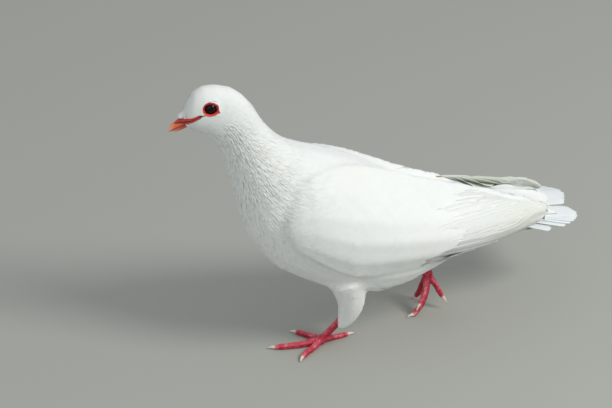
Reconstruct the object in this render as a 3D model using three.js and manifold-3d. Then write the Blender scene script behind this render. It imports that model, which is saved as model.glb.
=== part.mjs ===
// A walking white domestic pigeon, life size, as a still model.
//
// Millimetres, +Z up. The bird faces +X and its left side is +Y. The group is moved at the end so
// that the origin is the middle of the bird's bounding box, on the floor that it stands on.

import * as THREE from 'three';
import { mergeVertices } from 'three/addons/utils/BufferGeometryUtils.js';
import Module from 'manifold-3d';

const wasm = await Module();
wasm.setup();

// ---- Driving dimensions -------------------------------------------------------------------------

const gap = 0.3;               // clear space between neighbouring pieces
const bodySides = 20;          // facets round the trunk, neck and head
const bodyRings = 27;          // rings from the tail root to the bill
const plumpness = 2.12;        // roundness of a body section, where 2 is an ellipse

const headCut = { x: 67, z: 200, lean: 56 };    // where the head is parted from the neck, lean in degrees
const neckCut = { x: 42, z: 151, lean: 37 };    // where the neck is parted from the trunk

const bodyTurn = { from: 50, to: -110, degrees: 14 };   // the trunk bends to the right behind the neck

const eye = { x: 84.8, y: 7.8, z: 217.2, radius: 5.1, forward: 12, upward: 4 };
const eyeRing = { outer: 5.9, opening: 3.7, thickness: 2.0, standOff: 3.9 };
const eyeFacets = 12;

const bill = { base: [95, 207.6], tip: [115.6, 197.6], width: 4.4 };

const wingTips = { left: -184, right: -198 };  // how far back the folded wings reach
const wingStretchFrom = -100;                  // the length behind here differs between the wings
const flightCut = { x: -100, z: 99, lean: 62 };   // where the long flight feathers leave the wing shield

const tarsusRadius = 2.6;
const kneeOfFoot = 4.3;        // radius of the knuckle where the toes meet
const clawLength = 6.5;

// ---- Helpers ------------------------------------------------------------------------------------

const vec = (x, y, z) => new THREE.Vector3(x, y, z);
const degrees = THREE.MathUtils.degToRad;

// A manifold solid from a closed triangle mesh
function solidFrom(geometry) {
  const bare = geometry.clone();
  for (const name of Object.keys(bare.attributes)) {
    if (name !== 'position') bare.deleteAttribute(name);
  }
  const merged = mergeVertices(bare, 1e-4);
  return new wasm.Manifold(new wasm.Mesh({
    numProp: 3,
    vertProperties: Float32Array.from(merged.attributes.position.array),
    triVerts: Uint32Array.from(merged.index.array),
  }));
}

// A closed solid through a row of rings that all have the same number of points
function loft(rings) {
  const sides = rings[0].length;
  const middle = (ring) => ring.reduce((sum, p) => sum.add(p), vec(0, 0, 0)).divideScalar(sides);
  const points = [...rings.flat(), middle(rings[0]), middle(rings.at(-1))];
  const lastRing = (rings.length - 1) * sides;
  const startPole = points.length - 2;
  const endPole = points.length - 1;
  const faces = [];
  for (let side = 0; side < sides; side++) {
    const next = (side + 1) % sides;
    for (let row = 0; row < lastRing; row += sides) {
      faces.push([row + side, row + next, row + sides + next]);
      faces.push([row + side, row + sides + next, row + sides + side]);
    }
    faces.push([startPole, next, side]);
    faces.push([endPole, lastRing + side, lastRing + next]);
  }
  const volume = faces.reduce((sum, [a, b, c]) => (
    sum + points[a].dot(points[b].clone().cross(points[c]))), 0);
  if (volume < 0) faces.forEach((face) => face.reverse());
  const geometry = new THREE.BufferGeometry();
  const places = points.flatMap((p) => p.toArray());
  geometry.setAttribute('position', new THREE.Float32BufferAttribute(places, 3));
  geometry.setIndex(faces.flat());
  return solidFrom(geometry);
}

// One number along a row of key values, by a smooth curve. place runs from 0 to 1
function along(keys, place) {
  return new THREE.CatmullRomCurve3(keys.map((key) => vec(key, 0, 0))).getPoint(place).x;
}

// A round limb along a smooth path, with key radii, rounded ends and a width to height ratio. Its
// width lies across the axis that its whole run follows least
function limb(path, radii, { sides = 8, rings = 12, grow = 0, wide = 1 } = {}) {
  const curve = new THREE.CatmullRomCurve3(path);
  const run = path.at(-1).clone().sub(path[0]).normalize();
  const axes = [vec(0, 0, 1), vec(0, 1, 0)];
  const reference = Math.abs(run.z) < 0.6 ? axes[0] : axes[1];
  const row = [];
  const addRing = (place, scale, shift) => {
    const ahead = curve.getTangent(place);
    const sideways = reference.clone().cross(ahead).normalize();
    const upward = ahead.clone().cross(sideways);
    const centre = curve.getPoint(place).addScaledVector(ahead, shift);
    const radius = (along(radii, place) + grow) * scale;
    row.push(Array.from({ length: sides }, (_, k) => {
      const turn = (k + 0.5) / sides * 2 * Math.PI;
      return centre.clone().addScaledVector(sideways, radius * wide * Math.cos(turn))
        .addScaledVector(upward, radius * Math.sin(turn));
    }));
  };
  const roundedEnd = 55;       // degrees round the end where its one extra ring lies
  const shrink = Math.cos(degrees(roundedEnd));
  const reach = 0.6 * Math.sin(degrees(roundedEnd));
  addRing(0, shrink, -reach * (along(radii, 0) + grow));
  for (let ring = 0; ring <= rings; ring++) addRing(ring / rings, 1, 0);
  addRing(1, shrink, reach * (along(radii, 1) + grow));
  return loft(row);
}

// A ball, stretched along the three axes
function ball(centre, [sizeX, sizeY, sizeZ], facets = 14) {
  const geometry = new THREE.SphereGeometry(1, facets, Math.round(facets * 0.7));
  geometry.scale(sizeX, sizeY, sizeZ);
  geometry.translate(centre.x, centre.y, centre.z);
  return solidFrom(geometry);
}

// A big block that fills the space on one side of a leaning plane across the bird. It parts a
// solid: the front half keeps what lies ahead of the plane, the back half what lies behind
function halfSpace({ x, z, lean }, ahead) {
  const size = 600;
  const geometry = new THREE.BoxGeometry(size, size, size);
  geometry.translate((ahead ? 1 : -1) * (size / 2 + gap / 2), 0, 0);
  geometry.rotateY(degrees(-lean));
  geometry.translate(x, 0, z);
  return solidFrom(geometry);
}

const cut = (solid, ...tools) => tools.reduce((rest, tool) => rest.subtract(tool), solid);
const biggest = (solid) => solid.decompose().sort((a, b) => b.volume() - a.volume())[0];
const join = (...solids) => solids.reduce((sum, solid) => sum.add(solid));

// Everything under the floor, which gives the feet their small flats
function underFloor() {
  const geometry = new THREE.BoxGeometry(600, 300, 50);
  geometry.translate(0, 0, -25);
  return solidFrom(geometry);
}

// The gentle sideways bend of the body: a point of the straight bird, moved to its bent place
function bent(point) {
  const end = degrees(bodyTurn.degrees);
  const ramp = bodyTurn.from - bodyTurn.to;
  const behind = Math.max(0, bodyTurn.from - point.x);
  const turning = Math.min(behind, ramp);
  const turn = end * turning / ramp;
  const drift = end * turning * turning / (2 * ramp) + Math.sin(end) * (behind - turning);
  return vec(point.x - point.y * Math.sin(turn), point.y * Math.cos(turn) - drift, point.z);
}

// ---- Trunk, neck and head -----------------------------------------------------------------------

// Sections from the tail root to the bill: the back line, the belly line and half the width
const bodySections = [
  { back: [-170, 88], belly: [-165, 74], half: 13 },
  { back: [-148, 98], belly: [-142, 69], half: 20 },
  { back: [-124, 108], belly: [-113, 61], half: 27 },
  { back: [-100, 118], belly: [-82, 51], half: 34 },
  { back: [-74, 129.5], belly: [-54, 41.5], half: 39 },
  { back: [-47, 145.5], belly: [-22, 42.5], half: 41.5 },
  { back: [-20, 160], belly: [12, 59], half: 41 },
  { back: [4, 169.5], belly: [38, 75.5], half: 38 },
  { back: [20, 175.5], belly: [54.5, 99], half: 33 },
  { back: [30, 181], belly: [64, 126], half: 27 },
  { back: [38, 189], belly: [69.5, 151], half: 21.5 },
  { back: [45, 198], belly: [75.5, 172], half: 17.3 },
  { back: [52, 211], belly: [84, 188.5], half: 14.8 },
  { back: [65, 224.5], belly: [92, 193.5], half: 13.2 },
  { back: [82, 230.4], belly: [98, 196.5], half: 11.9 },
  { back: [94.5, 226.5], belly: [101, 199], half: 10 },
  { back: [101.3, 217], belly: [103, 200.5], half: 7.2 },
  { back: [104.8, 210], belly: [104, 202], half: 4.4 },
];

function bodySolid(grow = 0) {
  const backLine = new THREE.CatmullRomCurve3(bodySections.map(({ back: [x, z] }) => vec(x, 0, z)));
  const bellyLine = new THREE.CatmullRomCurve3(bodySections.map(({ belly: [x, z] }) => vec(x, 0, z)));
  const halves = bodySections.map(({ half }) => half);
  const rings = Array.from({ length: bodyRings + 1 }, (_, row) => {
    const place = row / bodyRings;
    const top = backLine.getPoint(place);
    const bottom = bellyLine.getPoint(place);
    const centre = top.clone().add(bottom).multiplyScalar(0.5);
    const reach = top.clone().sub(centre);
    reach.setLength(reach.length() + grow);
    const half = along(halves, place) + grow;
    return Array.from({ length: bodySides }, (_, k) => {
      const turn = (k + 0.5) / bodySides * 2 * Math.PI;
      const rounded = (value) => Math.sign(value) * Math.abs(value) ** (2 / plumpness);
      return centre.clone().addScaledVector(reach, rounded(Math.sin(turn)))
        .add(vec(0, half * rounded(Math.cos(turn)), 0));
    });
  });
  return loft(rings.map((ring) => ring.map(bent)));
}

// ---- Folded wings -------------------------------------------------------------------------------

// Sections of the left wing from its bend to its tip: the edge on the back, the edge on the flank,
// how far the middle stands out from the bird's centre plane, and the thickness
const wingSections = [
  { x: 34, back: [36, 131], flank: [37, 117], out: 38.5, thick: 3 },
  { x: 27, back: [33, 150], flank: [40, 103.5], out: 42.5, thick: 7 },
  { x: 9, back: [27, 162], flank: [41.5, 89.5], out: 46.5, thick: 9 },
  { x: -16, back: [17, 160.5], flank: [41, 73.5], out: 48, thick: 9 },
  { x: -46, back: [10, 149], flank: [39, 71.5], out: 46.5, thick: 9 },
  { x: -76, back: [6.5, 134.5], flank: [36, 70.5], out: 42, thick: 8 },
  { x: -104, back: [5.5, 123], flank: [32, 70.5], out: 36, thick: 7 },
  { x: -132, back: [7, 112.5], flank: [28, 71], out: 30, thick: 5.5 },
  { x: -158, back: [9.5, 102.5], flank: [25, 72.5], out: 25.5, thick: 4 },
  { x: -178, back: [12, 95], flank: [21.5, 75.5], out: 22, thick: 3 },
  { x: -192, back: [15, 89], flank: [17.5, 80.5], out: 18, thick: 1.6 },
];

function wingSolid(side, grow = 0) {
  const across = 5;
  const stations = 17;
  const key = (pick) => wingSections.map(pick);
  const tip = side > 0 ? wingTips.left : wingTips.right;
  const stretch = (tip - wingStretchFrom) / (wingSections.at(-1).x - wingStretchFrom);
  const reach = (x) => wingStretchFrom + (x - wingStretchFrom) * (x < wingStretchFrom ? stretch : 1);
  const rings = Array.from({ length: stations + 1 }, (_, row) => {
    const place = row / stations;
    const x = reach(along(key((s) => s.x), place));
    const back = vec(x, along(key((s) => s.back[0]), place), along(key((s) => s.back[1]), place));
    const flank = vec(x, along(key((s) => s.flank[0]), place), along(key((s) => s.flank[1]), place));
    const out = along(key((s) => s.out), place);
    const thick = along(key((s) => s.thick), place);
    const middleY = 2 * out - (back.y + flank.y) / 2;
    const bow = new THREE.QuadraticBezierCurve3(back, vec(x, middleY, (back.z + flank.z) / 2), flank);
    const outer = [];
    const inner = [];
    for (let step = 0; step <= across; step++) {
      const point = bow.getPoint(step / across);
      const tangent = bow.getTangent(step / across);
      const outward = vec(0, -tangent.z, tangent.y);
      const edge = Math.sin(Math.PI * step / across) ** 0.5;
      const overhang = (step === 0 ? -grow : 0) + (step === across ? grow : 0);
      point.addScaledVector(tangent, overhang);
      outer.push(point.clone().addScaledVector(outward, grow));
      inner.unshift(point.clone().addScaledVector(outward, -(1 + (thick - 1) * edge + grow)));
    }
    const shift = (row === 0 ? grow : 0) - (row === stations ? grow : 0);
    return [...outer, ...inner].map((p) => bent(vec(p.x + shift, side * p.y, p.z)));
  });
  return loft(rings);
}

// ---- Tail ---------------------------------------------------------------------------------------

// The lightly spread tail, twelve long feathers lying over each other as one arched blade. Each
// section has the height of its middle and the Y of its two edges, and the tail leans to the right
const tailSections = [
  { x: -135, z: 85, left: 12, right: -13, thick: 10 },
  { x: -152, z: 81, left: 18, right: -19, thick: 8 },
  { x: -168, z: 77.3, left: 24, right: -25.5, thick: 5.5 },
  { x: -182, z: 74, left: 25, right: -30.5, thick: 4 },
  { x: -197, z: 70.7, left: 20.5, right: -34.5, thick: 3 },
  { x: -210, z: 67.5, left: 14, right: -37, thick: 2.4 },
  { x: -221, z: 65.2, left: 3, right: -32, thick: 1.6 },
];
const tailArch = 3;            // how much lower the tail's sides hang than its middle
const tailRoll = 0.1;          // how much the tail is raised on its right, per unit of width

function tailSolid(grow = 0) {
  const across = 6;
  const stations = 9;
  const key = (pick) => tailSections.map(pick);
  const rings = Array.from({ length: stations + 1 }, (_, row) => {
    const place = row / stations;
    const x = along(key((s) => s.x), place) + (row === 0 ? grow : 0) - (row === stations ? grow : 0);
    const z = along(key((s) => s.z), place);
    const left = along(key((s) => s.left), place) + grow;
    const right = along(key((s) => s.right), place) - grow;
    const thick = along(key((s) => s.thick), place);
    const upper = [];
    const lower = [];
    for (let step = 0; step <= across; step++) {
      const share = 2 * step / across - 1;
      const y = (left + right) / 2 + share * (left - right) / 2;
      const middle = z - tailArch * share * share - tailRoll * y;
      const rise = thick / 2 * Math.sqrt(1 - 0.75 * share * share) + grow;
      upper.push(bent(vec(x, y, middle + rise)));
      lower.unshift(bent(vec(x, y, middle - rise)));
    }
    return [...upper, ...lower];
  });
  return loft(rings);
}

// ---- Eyes and bill ------------------------------------------------------------------------------

// The way an eye looks out of the head, a little forward and up
function gaze(side) {
  const forward = Math.sin(degrees(eye.forward));
  const upward = Math.sin(degrees(eye.upward));
  return vec(forward, side, upward).normalize();
}

function eyeSolid(side, grow = 0) {
  const radius = eye.radius + grow;
  return ball(vec(eye.x, side * eye.y, eye.z), [radius, radius, radius], eyeFacets);
}

// A turned shape about the way the eye looks, from [radius, height] pairs at the ring's middle
function roundEye(side, profile) {
  const line = profile.map(([r, h]) => new THREE.Vector2(r, h));
  const geometry = new THREE.LatheGeometry(line, eyeFacets);
  geometry.applyQuaternion(new THREE.Quaternion().setFromUnitVectors(vec(0, 1, 0), gaze(side)));
  const centre = vec(eye.x, side * eye.y, eye.z).addScaledVector(gaze(side), eyeRing.standOff);
  geometry.translate(centre.x, centre.y, centre.z);
  return solidFrom(geometry);
}

// The bare ring of skin round the eye
function eyeRingSolid(side) {
  const { outer, opening, thickness } = eyeRing;
  const half = thickness / 2;
  return roundEye(side, [
    [opening, -half], [outer - 0.3, -half], [outer, 0],
    [outer - 1, half * 0.8], [opening, half], [opening, -half],
  ]);
}

// The hollow in the head that the eye and its ring sit in
function socketSolid(side) {
  const radius = eyeRing.outer + gap;
  const floor = -eyeRing.thickness / 2 - gap;
  const rim = roundEye(side, [[0, floor], [radius, floor], [radius, 4], [0, 4]]);
  return join(rim, eyeSolid(side, gap));
}

// The bill's own frame: s runs along it from the gape, h is up across it
const billBase = vec(bill.base[0], 0, bill.base[1]);
const billAxis = vec(bill.tip[0], 0, bill.tip[1]).sub(billBase);
const billLength = billAxis.length();
billAxis.normalize();
const billUp = vec(-billAxis.z, 0, billAxis.x);

function billPoint(s, y, h) {
  return billBase.clone().addScaledVector(billAxis, s).addScaledVector(billUp, h).add(vec(0, y, 0));
}

// Half a bill: the outer line and the line where the two halves meet, both as heights along it
function mandible(outerHeights, meetingHeights, reach, grow) {
  const steps = 9;
  const sides = 8;
  const rings = Array.from({ length: steps + 1 }, (_, row) => {
    const place = row / steps;
    const s = place * reach + (row === 0 ? -grow : 0) + (row === steps ? grow : 0);
    const outer = along(outerHeights, place);
    const meeting = along(meetingHeights, place);
    const half = bill.width * (1 - place ** 1.8) ** 0.75 * (1 - 0.25 * place) + 0.25;
    const lift = Math.sign(outer - meeting);
    const arc = Array.from({ length: sides + 1 }, (_, k) => {
      const turn = Math.PI * k / sides;
      const bulge = (outer - meeting + lift * grow) * Math.sin(turn) ** 0.8;
      const h = meeting + bulge - lift * grow * (k % sides === 0);
      return billPoint(s, (half + grow) * Math.cos(turn), h);
    });
    return [...arc, billPoint(s, 0, meeting - lift * grow)];
  });
  return loft(rings);
}

function upperBill(grow = 0) {
  const ridge = [4.2, 4.6, 4.9, 3.6, 2.3, 0.1];
  const cuttingEdge = [0, -0.2, -0.1, 0.1, 0, -1.0];
  return mandible(ridge, cuttingEdge, billLength, grow);
}

function lowerBill(grow = 0) {
  const keel = [-3.6, -4.0, -3.9, -3.0, -2.0, -1.1];
  const cuttingEdge = [-0.3, -0.5, -0.4, -0.2, -0.3, -0.6];
  return mandible(keel, cuttingEdge, billLength * 0.93, grow);
}

// The pale swelling over the nostrils, one lobe on each side of the bill's ridge
function cereSolid(grow = 0) {
  const lobe = (side) => ball(billPoint(8.4, side * 1.7, 4.3), [4.2 + grow, 2.1 + grow, 1.7 + grow], 8);
  return join(lobe(1), lobe(-1));
}

// ---- Legs ---------------------------------------------------------------------------------------

// The left foot stands flat. The right foot trails and stands on its toe tips
const legs = {
  left: {
    thigh: [
      vec(-17, 17, 64), vec(-20.5, 15.5, 50), vec(-21.5, 14, 38), vec(-19, 12.8, 27), vec(-14, 11.6, 18.5),
    ],
    thighRadii: [16, 12.5, 10.5, 7.6, 4.4],
    ankle: vec(-18, 12.6, 28),
    knuckle: vec(0, 7, 4.1),
    toes: {
      inner: [vec(2.6, 3.6, 3.3), vec(8.4, -4, 2.2), vec(16, -11.4, 1.65)],
      middle: [vec(4, 7.2, 3.4), vec(15, 8.4, 2.4), vec(26, 8.6, 2.1), vec(36.6, 7.6, 1.75)],
      outer: [vec(3, 9.8, 3.4), vec(9, 15.6, 2.2), vec(14.5, 20.4, 1.95), vec(19, 25.4, 1.6)],
      hind: [vec(-3.2, 5.8, 3.8), vec(-12, 2.6, 2.1), vec(-22, -0.4, 1.5)],
    },
    clawTips: {
      inner: vec(21, -14.6, 0.4),
      middle: vec(43, 6.4, 0.4),
      outer: vec(22, 31, 0.4),
      hind: vec(-28.4, -1.6, 0.4),
    },
  },
  right: {
    thigh: [
      vec(-30, -20, 70), vec(-43, -22.5, 60), vec(-54, -24.5, 53), vec(-63, -26, 48.5), vec(-71, -27, 45),
    ],
    thighRadii: [19, 16, 12, 8.2, 4.6],
    ankle: vec(-66, -25.5, 49),
    knuckle: vec(-94, -30, 31),
    toes: {
      inner: [vec(-93, -27, 29), vec(-90.5, -22.5, 20.5), vec(-85.5, -18.5, 11)],
      middle: [vec(-93.5, -29.5, 28), vec(-91.5, -25.5, 16), vec(-87, -22, 7.5), vec(-80.5, -18.4, 1.9)],
      outer: [vec(-94, -32, 28.5), vec(-91.5, -36, 18.5), vec(-90, -39.5, 10), vec(-88.4, -43, 3.6)],
      hind: [vec(-96, -29.5, 28), vec(-101, -26.5, 20), vec(-104.8, -24.5, 12)],
    },
    clawTips: {
      inner: vec(-82.6, -16.6, 5.4),
      middle: vec(-74.6, -16.2, 0.3),
      outer: vec(-86.8, -46.4, 0.2),
      hind: vec(-107.6, -23, 5.5),
    },
  },
};
const toeRadii = { inner: 2.75, middle: 2.95, outer: 2.75, hind: 2.6 };

function thighSolid(side) {
  return limb(legs[side].thigh, legs[side].thighRadii, { sides: 10, rings: 7 });
}

// The scaly shank, with the knuckle and its pad
function tarsusSolid(side, grow = 0) {
  const { ankle, knuckle } = legs[side];
  const shank = limb([ankle, ankle.clone().lerp(knuckle, 0.5), knuckle],
    [tarsusRadius * 1.35, tarsusRadius, tarsusRadius * 1.2], { grow, rings: 6 });
  const size = kneeOfFoot + grow;
  return join(shank, ball(knuckle, [size, size * 0.95, size], 8));
}

// A toe, swollen at each joint and tapering to the claw
function toeSolid(side, digit, grow = 0) {
  const path = legs[side].toes[digit];
  const joints = path.length;
  const radii = Array.from({ length: joints * 2 + 1 }, (_, k) => {
    const taper = 1 - 0.25 * k / (joints * 2);
    return toeRadii[digit] * taper * (k % 2 ? 1.04 : 0.92);
  });
  return limb(path, radii, { grow, sides: 7, rings: joints * 2 - 1 });
}

// A claw, curving down from the end of its toe
function clawSolid(side, digit) {
  const root = legs[side].toes[digit].at(-1);
  const tip = legs[side].clawTips[digit];
  const back = root.clone().sub(tip).setLength(clawLength);
  const start = tip.clone().add(back);
  const crest = tip.clone().addScaledVector(back, 0.45).add(vec(0, 0, 0.9));
  return limb([start, crest, tip], [1.6, 1.25, 0.5], { sides: 5, rings: 2, wide: 0.8 });
}

// ---- Materials ----------------------------------------------------------------------------------

const finish = (color, roughness) => new THREE.MeshStandardMaterial({ color, roughness, metalness: 0 });
const plumage = finish('#eef2ee', 0.85);
const vane = finish('#efede0', 0.75);
const scale = finish('#b8203a', 0.55);
const horn = finish('#e8c9bf', 0.4);
const coral = finish('#e0583c', 0.45);
const pale = finish('#e9dcd8', 0.7);
const crimson = finish('#c01824', 0.5);
const dark = finish('#0d0707', 0.05);

// ---- The bird -----------------------------------------------------------------------------------

const bird = new THREE.Group();

function place(name, solid, material) {
  const { vertProperties, triVerts, numProp } = solid.getMesh();
  const geometry = new THREE.BufferGeometry();
  const corners = [];
  for (let k = 0; k < vertProperties.length; k += numProp) corners.push(...vertProperties.slice(k, k + 3));
  geometry.setAttribute('position', new THREE.Float32BufferAttribute(corners, 3));
  geometry.setIndex([...triVerts]);
  geometry.computeVertexNormals();
  const mesh = new THREE.Mesh(geometry, material);
  mesh.name = name;
  bird.add(mesh);
}

const bothSides = [['left', 1], ['right', -1]];

function placeBody() {
  const body = bodySolid();
  const sockets = bothSides.map(([, side]) => socketSolid(side));
  const face = [upperBill(gap), lowerBill(gap), cereSolid(gap)];
  const rear = [tailSolid(gap), ...bothSides.map(([, side]) => wingSolid(side, gap))];
  place('head', cut(body.intersect(halfSpace(headCut, true)), ...sockets, ...face), plumage);
  const behindHead = body.intersect(halfSpace(headCut, false));
  place('neck', cut(behindHead.intersect(halfSpace(neckCut, true)), ...rear), plumage);
  place('trunk', biggest(cut(body.intersect(halfSpace(neckCut, false)), ...rear)), plumage);
}

function placeFace() {
  for (const [name, side] of bothSides) {
    place(`eye_${name}`, eyeSolid(side), dark);
    place(`eye_ring_${name}`, cut(eyeRingSolid(side), eyeSolid(side, gap)), crimson);
  }
  place('bill_upper', upperBill(), coral);
  place('bill_lower', cut(lowerBill(), upperBill(gap)), coral);
  place('cere', cut(cereSolid(), upperBill(gap)), pale);
}

function placeWingsAndTail() {
  for (const [name, side] of bothSides) {
    const wing = cut(wingSolid(side), tailSolid(gap));
    place(`wing_${name}`, wing.intersect(halfSpace(flightCut, true)), plumage);
    place(`flight_${name}`, wing.intersect(halfSpace(flightCut, false)), vane);
  }
  place('tail', tailSolid(), vane);
}

function placeLegs() {
  const floor = underFloor();
  const body = bodySolid(gap);
  for (const [name, side] of bothSides) {
    const shank = tarsusSolid(name, gap);
    place(`thigh_${name}`, cut(thighSolid(name), body, wingSolid(side, gap), shank), plumage);
    place(`tarsus_${name}`, cut(tarsusSolid(name), body, floor), scale);
    const earlier = [];
    for (const digit of Object.keys(toeRadii)) {
      place(`toe_${digit}_${name}`, cut(toeSolid(name, digit), shank, floor, ...earlier), scale);
      place(`claw_${digit}_${name}`, cut(clawSolid(name, digit), toeSolid(name, digit, gap), floor), horn);
      earlier.push(toeSolid(name, digit, gap));
    }
  }
}

placeBody();
placeFace();
placeWingsAndTail();
placeLegs();

const bounds = new THREE.Box3().setFromObject(bird);
const centre = bounds.getCenter(vec(0, 0, 0));
bird.position.set(-centre.x, -centre.y, -bounds.min.z);

export default bird;
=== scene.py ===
import math

import bmesh
import bpy
import numpy as np
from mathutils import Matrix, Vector
from mathutils.bvhtree import BVHTree
from mathutils.kdtree import KDTree


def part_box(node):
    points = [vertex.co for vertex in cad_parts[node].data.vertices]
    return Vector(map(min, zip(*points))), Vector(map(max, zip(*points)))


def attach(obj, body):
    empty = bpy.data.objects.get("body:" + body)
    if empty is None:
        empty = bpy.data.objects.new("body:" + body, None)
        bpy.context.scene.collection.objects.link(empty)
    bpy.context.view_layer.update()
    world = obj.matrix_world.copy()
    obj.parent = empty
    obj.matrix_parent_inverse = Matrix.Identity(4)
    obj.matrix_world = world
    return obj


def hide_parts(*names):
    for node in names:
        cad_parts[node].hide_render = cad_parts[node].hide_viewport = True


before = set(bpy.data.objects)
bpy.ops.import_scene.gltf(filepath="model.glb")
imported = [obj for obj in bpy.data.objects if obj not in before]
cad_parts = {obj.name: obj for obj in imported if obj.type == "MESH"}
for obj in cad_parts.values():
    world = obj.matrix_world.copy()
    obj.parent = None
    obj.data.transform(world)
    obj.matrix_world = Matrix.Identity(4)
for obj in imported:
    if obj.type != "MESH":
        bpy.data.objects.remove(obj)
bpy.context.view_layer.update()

mm = 0.001


# ---- Camera, light and floor ----------------------------------------------------------------
# The bird is seen from its left, a little from the front and well from above. One wide lamp
# stands high behind its tail and lights its back, and a second one fills its breast.

aim = Vector((61 * mm, 2.5 * mm, 114.3 * mm))
camera_turn = math.radians(168)
camera_rise = math.radians(29)
camera_distance = 2.3
to_camera = Vector((
    math.sin(camera_turn) * math.cos(camera_rise),
    -math.cos(camera_turn) * math.cos(camera_rise),
    math.sin(camera_rise),
))
camera_data = bpy.data.cameras.new("camera")
camera_data.lens = 175.9
camera_data.sensor_width = 36
camera = bpy.data.objects.new("camera", camera_data)
bpy.context.scene.collection.objects.link(camera)
camera.location = aim + to_camera * camera_distance
camera.rotation_euler = (-to_camera).to_track_quat("-Z", "Y").to_euler()
bpy.context.scene.camera = camera


def lamp(name, place, size, power, colour):
    """A round soft lamp turned to the bird, its size in metres and its power in watts."""
    data = bpy.data.lights.new(name, "AREA")
    data.shape = "DISK"
    data.size = size
    data.energy = power
    data.color = colour
    holder = bpy.data.objects.new(name, data)
    bpy.context.scene.collection.objects.link(holder)
    holder.location = place
    holder.rotation_euler = (aim - Vector(place)).to_track_quat("-Z", "Y").to_euler()


warm_white, cool_white = (1, 0.985, 0.955), (0.93, 0.97, 1)
sky_strength = 0.56
lamp("key_lamp", (-1.11, 0.95, 1.45), 0.7, 22.3, warm_white)
lamp("fill_lamp", (1.5, 1.3, 0.9), 1.2, 3.6, cool_white)

world = bpy.data.worlds.new("studio")
bpy.context.scene.world = world
world.use_nodes = True
world.node_tree.nodes["Background"].inputs["Color"].default_value = (*cool_white, 1)
world.node_tree.nodes["Background"].inputs["Strength"].default_value = sky_strength
bpy.context.scene.view_settings.view_transform = "Standard"


def new_material(name, colour, roughness):
    """A plain finish and its shader, for the nodes that follow."""
    material = bpy.data.materials.new(name)
    material.use_nodes = True
    shader = material.node_tree.nodes["Principled BSDF"]
    shader.inputs["Base Color"].default_value = (*colour, 1)
    shader.inputs["Roughness"].default_value = roughness
    return material, shader


def add_node(material, kind, inputs=(), **settings):
    """A node of a finish: its inputs are sockets to link from, or values."""
    node = material.node_tree.nodes.new(kind)
    for key, value in settings.items():
        setattr(node, key, value)
    for key, value in dict(inputs).items():
        if isinstance(value, bpy.types.NodeSocket):
            material.node_tree.links.new(value, node.inputs[key])
        else:
            node.inputs[key].default_value = value
    return node


def link(material, output, socket):
    """Joins one node of a finish to the next."""
    material.node_tree.links.new(output, socket)


def new_piece(name, mesh, materials, smooth=True):
    """A piece of the scene that holds a mesh, with its finishes."""
    piece = bpy.data.objects.new(name, mesh)
    bpy.context.scene.collection.objects.link(piece)
    for material in materials:
        mesh.materials.append(material)
    if smooth:
        mesh.shade_smooth()
    return piece


floor_mesh = bpy.data.meshes.new("floor")
floor_half = 12
floor_corners = [(x * floor_half, y * floor_half, 0) for x, y in ((-1, -1), (1, -1), (1, 1), (-1, 1))]
floor_mesh.from_pydata(floor_corners, [], [(0, 1, 2, 3)])
floor_paint, _ = new_material("floor_paint", (0.40, 0.405, 0.37), 0.85)
new_piece("floor", floor_mesh, [floor_paint], smooth=False)


# ---- Skin -----------------------------------------------------------------------------------
# One unbroken skin covers the head, neck, trunk, wings and thighs. On a mounted bird it is the
# bird's own hide, drawn over the body form and closed under the feathers that hide it.

flesh = ["head", "neck", "trunk", "wing_left", "wing_right", "thigh_left", "thigh_right"]
horny = ["bill_upper", "bill_lower", "cere"]
face_parts = ["eye_left", "eye_right", "eye_ring_left", "eye_ring_right"] + horny
blades = ["flight_left", "flight_right", "tail"]


def merged_copy(name, grow):
    """Points and faces of a frame node, with its corners joined, moved outwards by grow."""
    shape = bmesh.new()
    shape.from_mesh(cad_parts[name].data)
    bmesh.ops.remove_doubles(shape, verts=shape.verts, dist=0.001 * mm)
    shape.normal_update()
    points = [v.co + v.normal * grow for v in shape.verts]
    shape.verts.index_update()
    faces = [[v.index for v in face.verts] for face in shape.faces]
    shape.free()
    return points, faces


def fused(names, voxel, rounds, grow=0.35 * mm, also=()):
    """One closed mesh round several frame nodes, its edges rounded by smoothing."""
    points, faces = [], []
    for more_points, more_faces in [merged_copy(name, grow) for name in names] + list(also):
        faces += [[corner + len(points) for corner in face] for face in more_faces]
        points += more_points
    mesh = bpy.data.meshes.new("fused")
    mesh.from_pydata(points, [], faces)
    block = bpy.data.objects.new("fused", mesh)
    bpy.context.scene.collection.objects.link(block)
    remesh = block.modifiers.new("remesh", "REMESH")
    remesh.mode = "VOXEL"
    remesh.voxel_size = voxel
    finished = block.evaluated_get(bpy.context.evaluated_depsgraph_get())
    result = bpy.data.meshes.new_from_object(finished)
    bpy.data.objects.remove(block)
    smooth_out(result, rounds)
    return result


def read_points(mesh):
    """A mesh's points, one to a row."""
    points = np.empty(len(mesh.vertices) * 3)
    mesh.vertices.foreach_get("co", points)
    return points.reshape(-1, 3)


def write_points(mesh, points):
    """Moves a mesh's points to their new places."""
    mesh.vertices.foreach_set("co", points.ravel())
    mesh.update()


def outward(mesh):
    """The way outwards at every point of a closed mesh."""
    normals = np.empty(len(mesh.vertices) * 3)
    mesh.vertex_normals.foreach_get("vector", normals)
    return normals.reshape(-1, 3)


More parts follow.
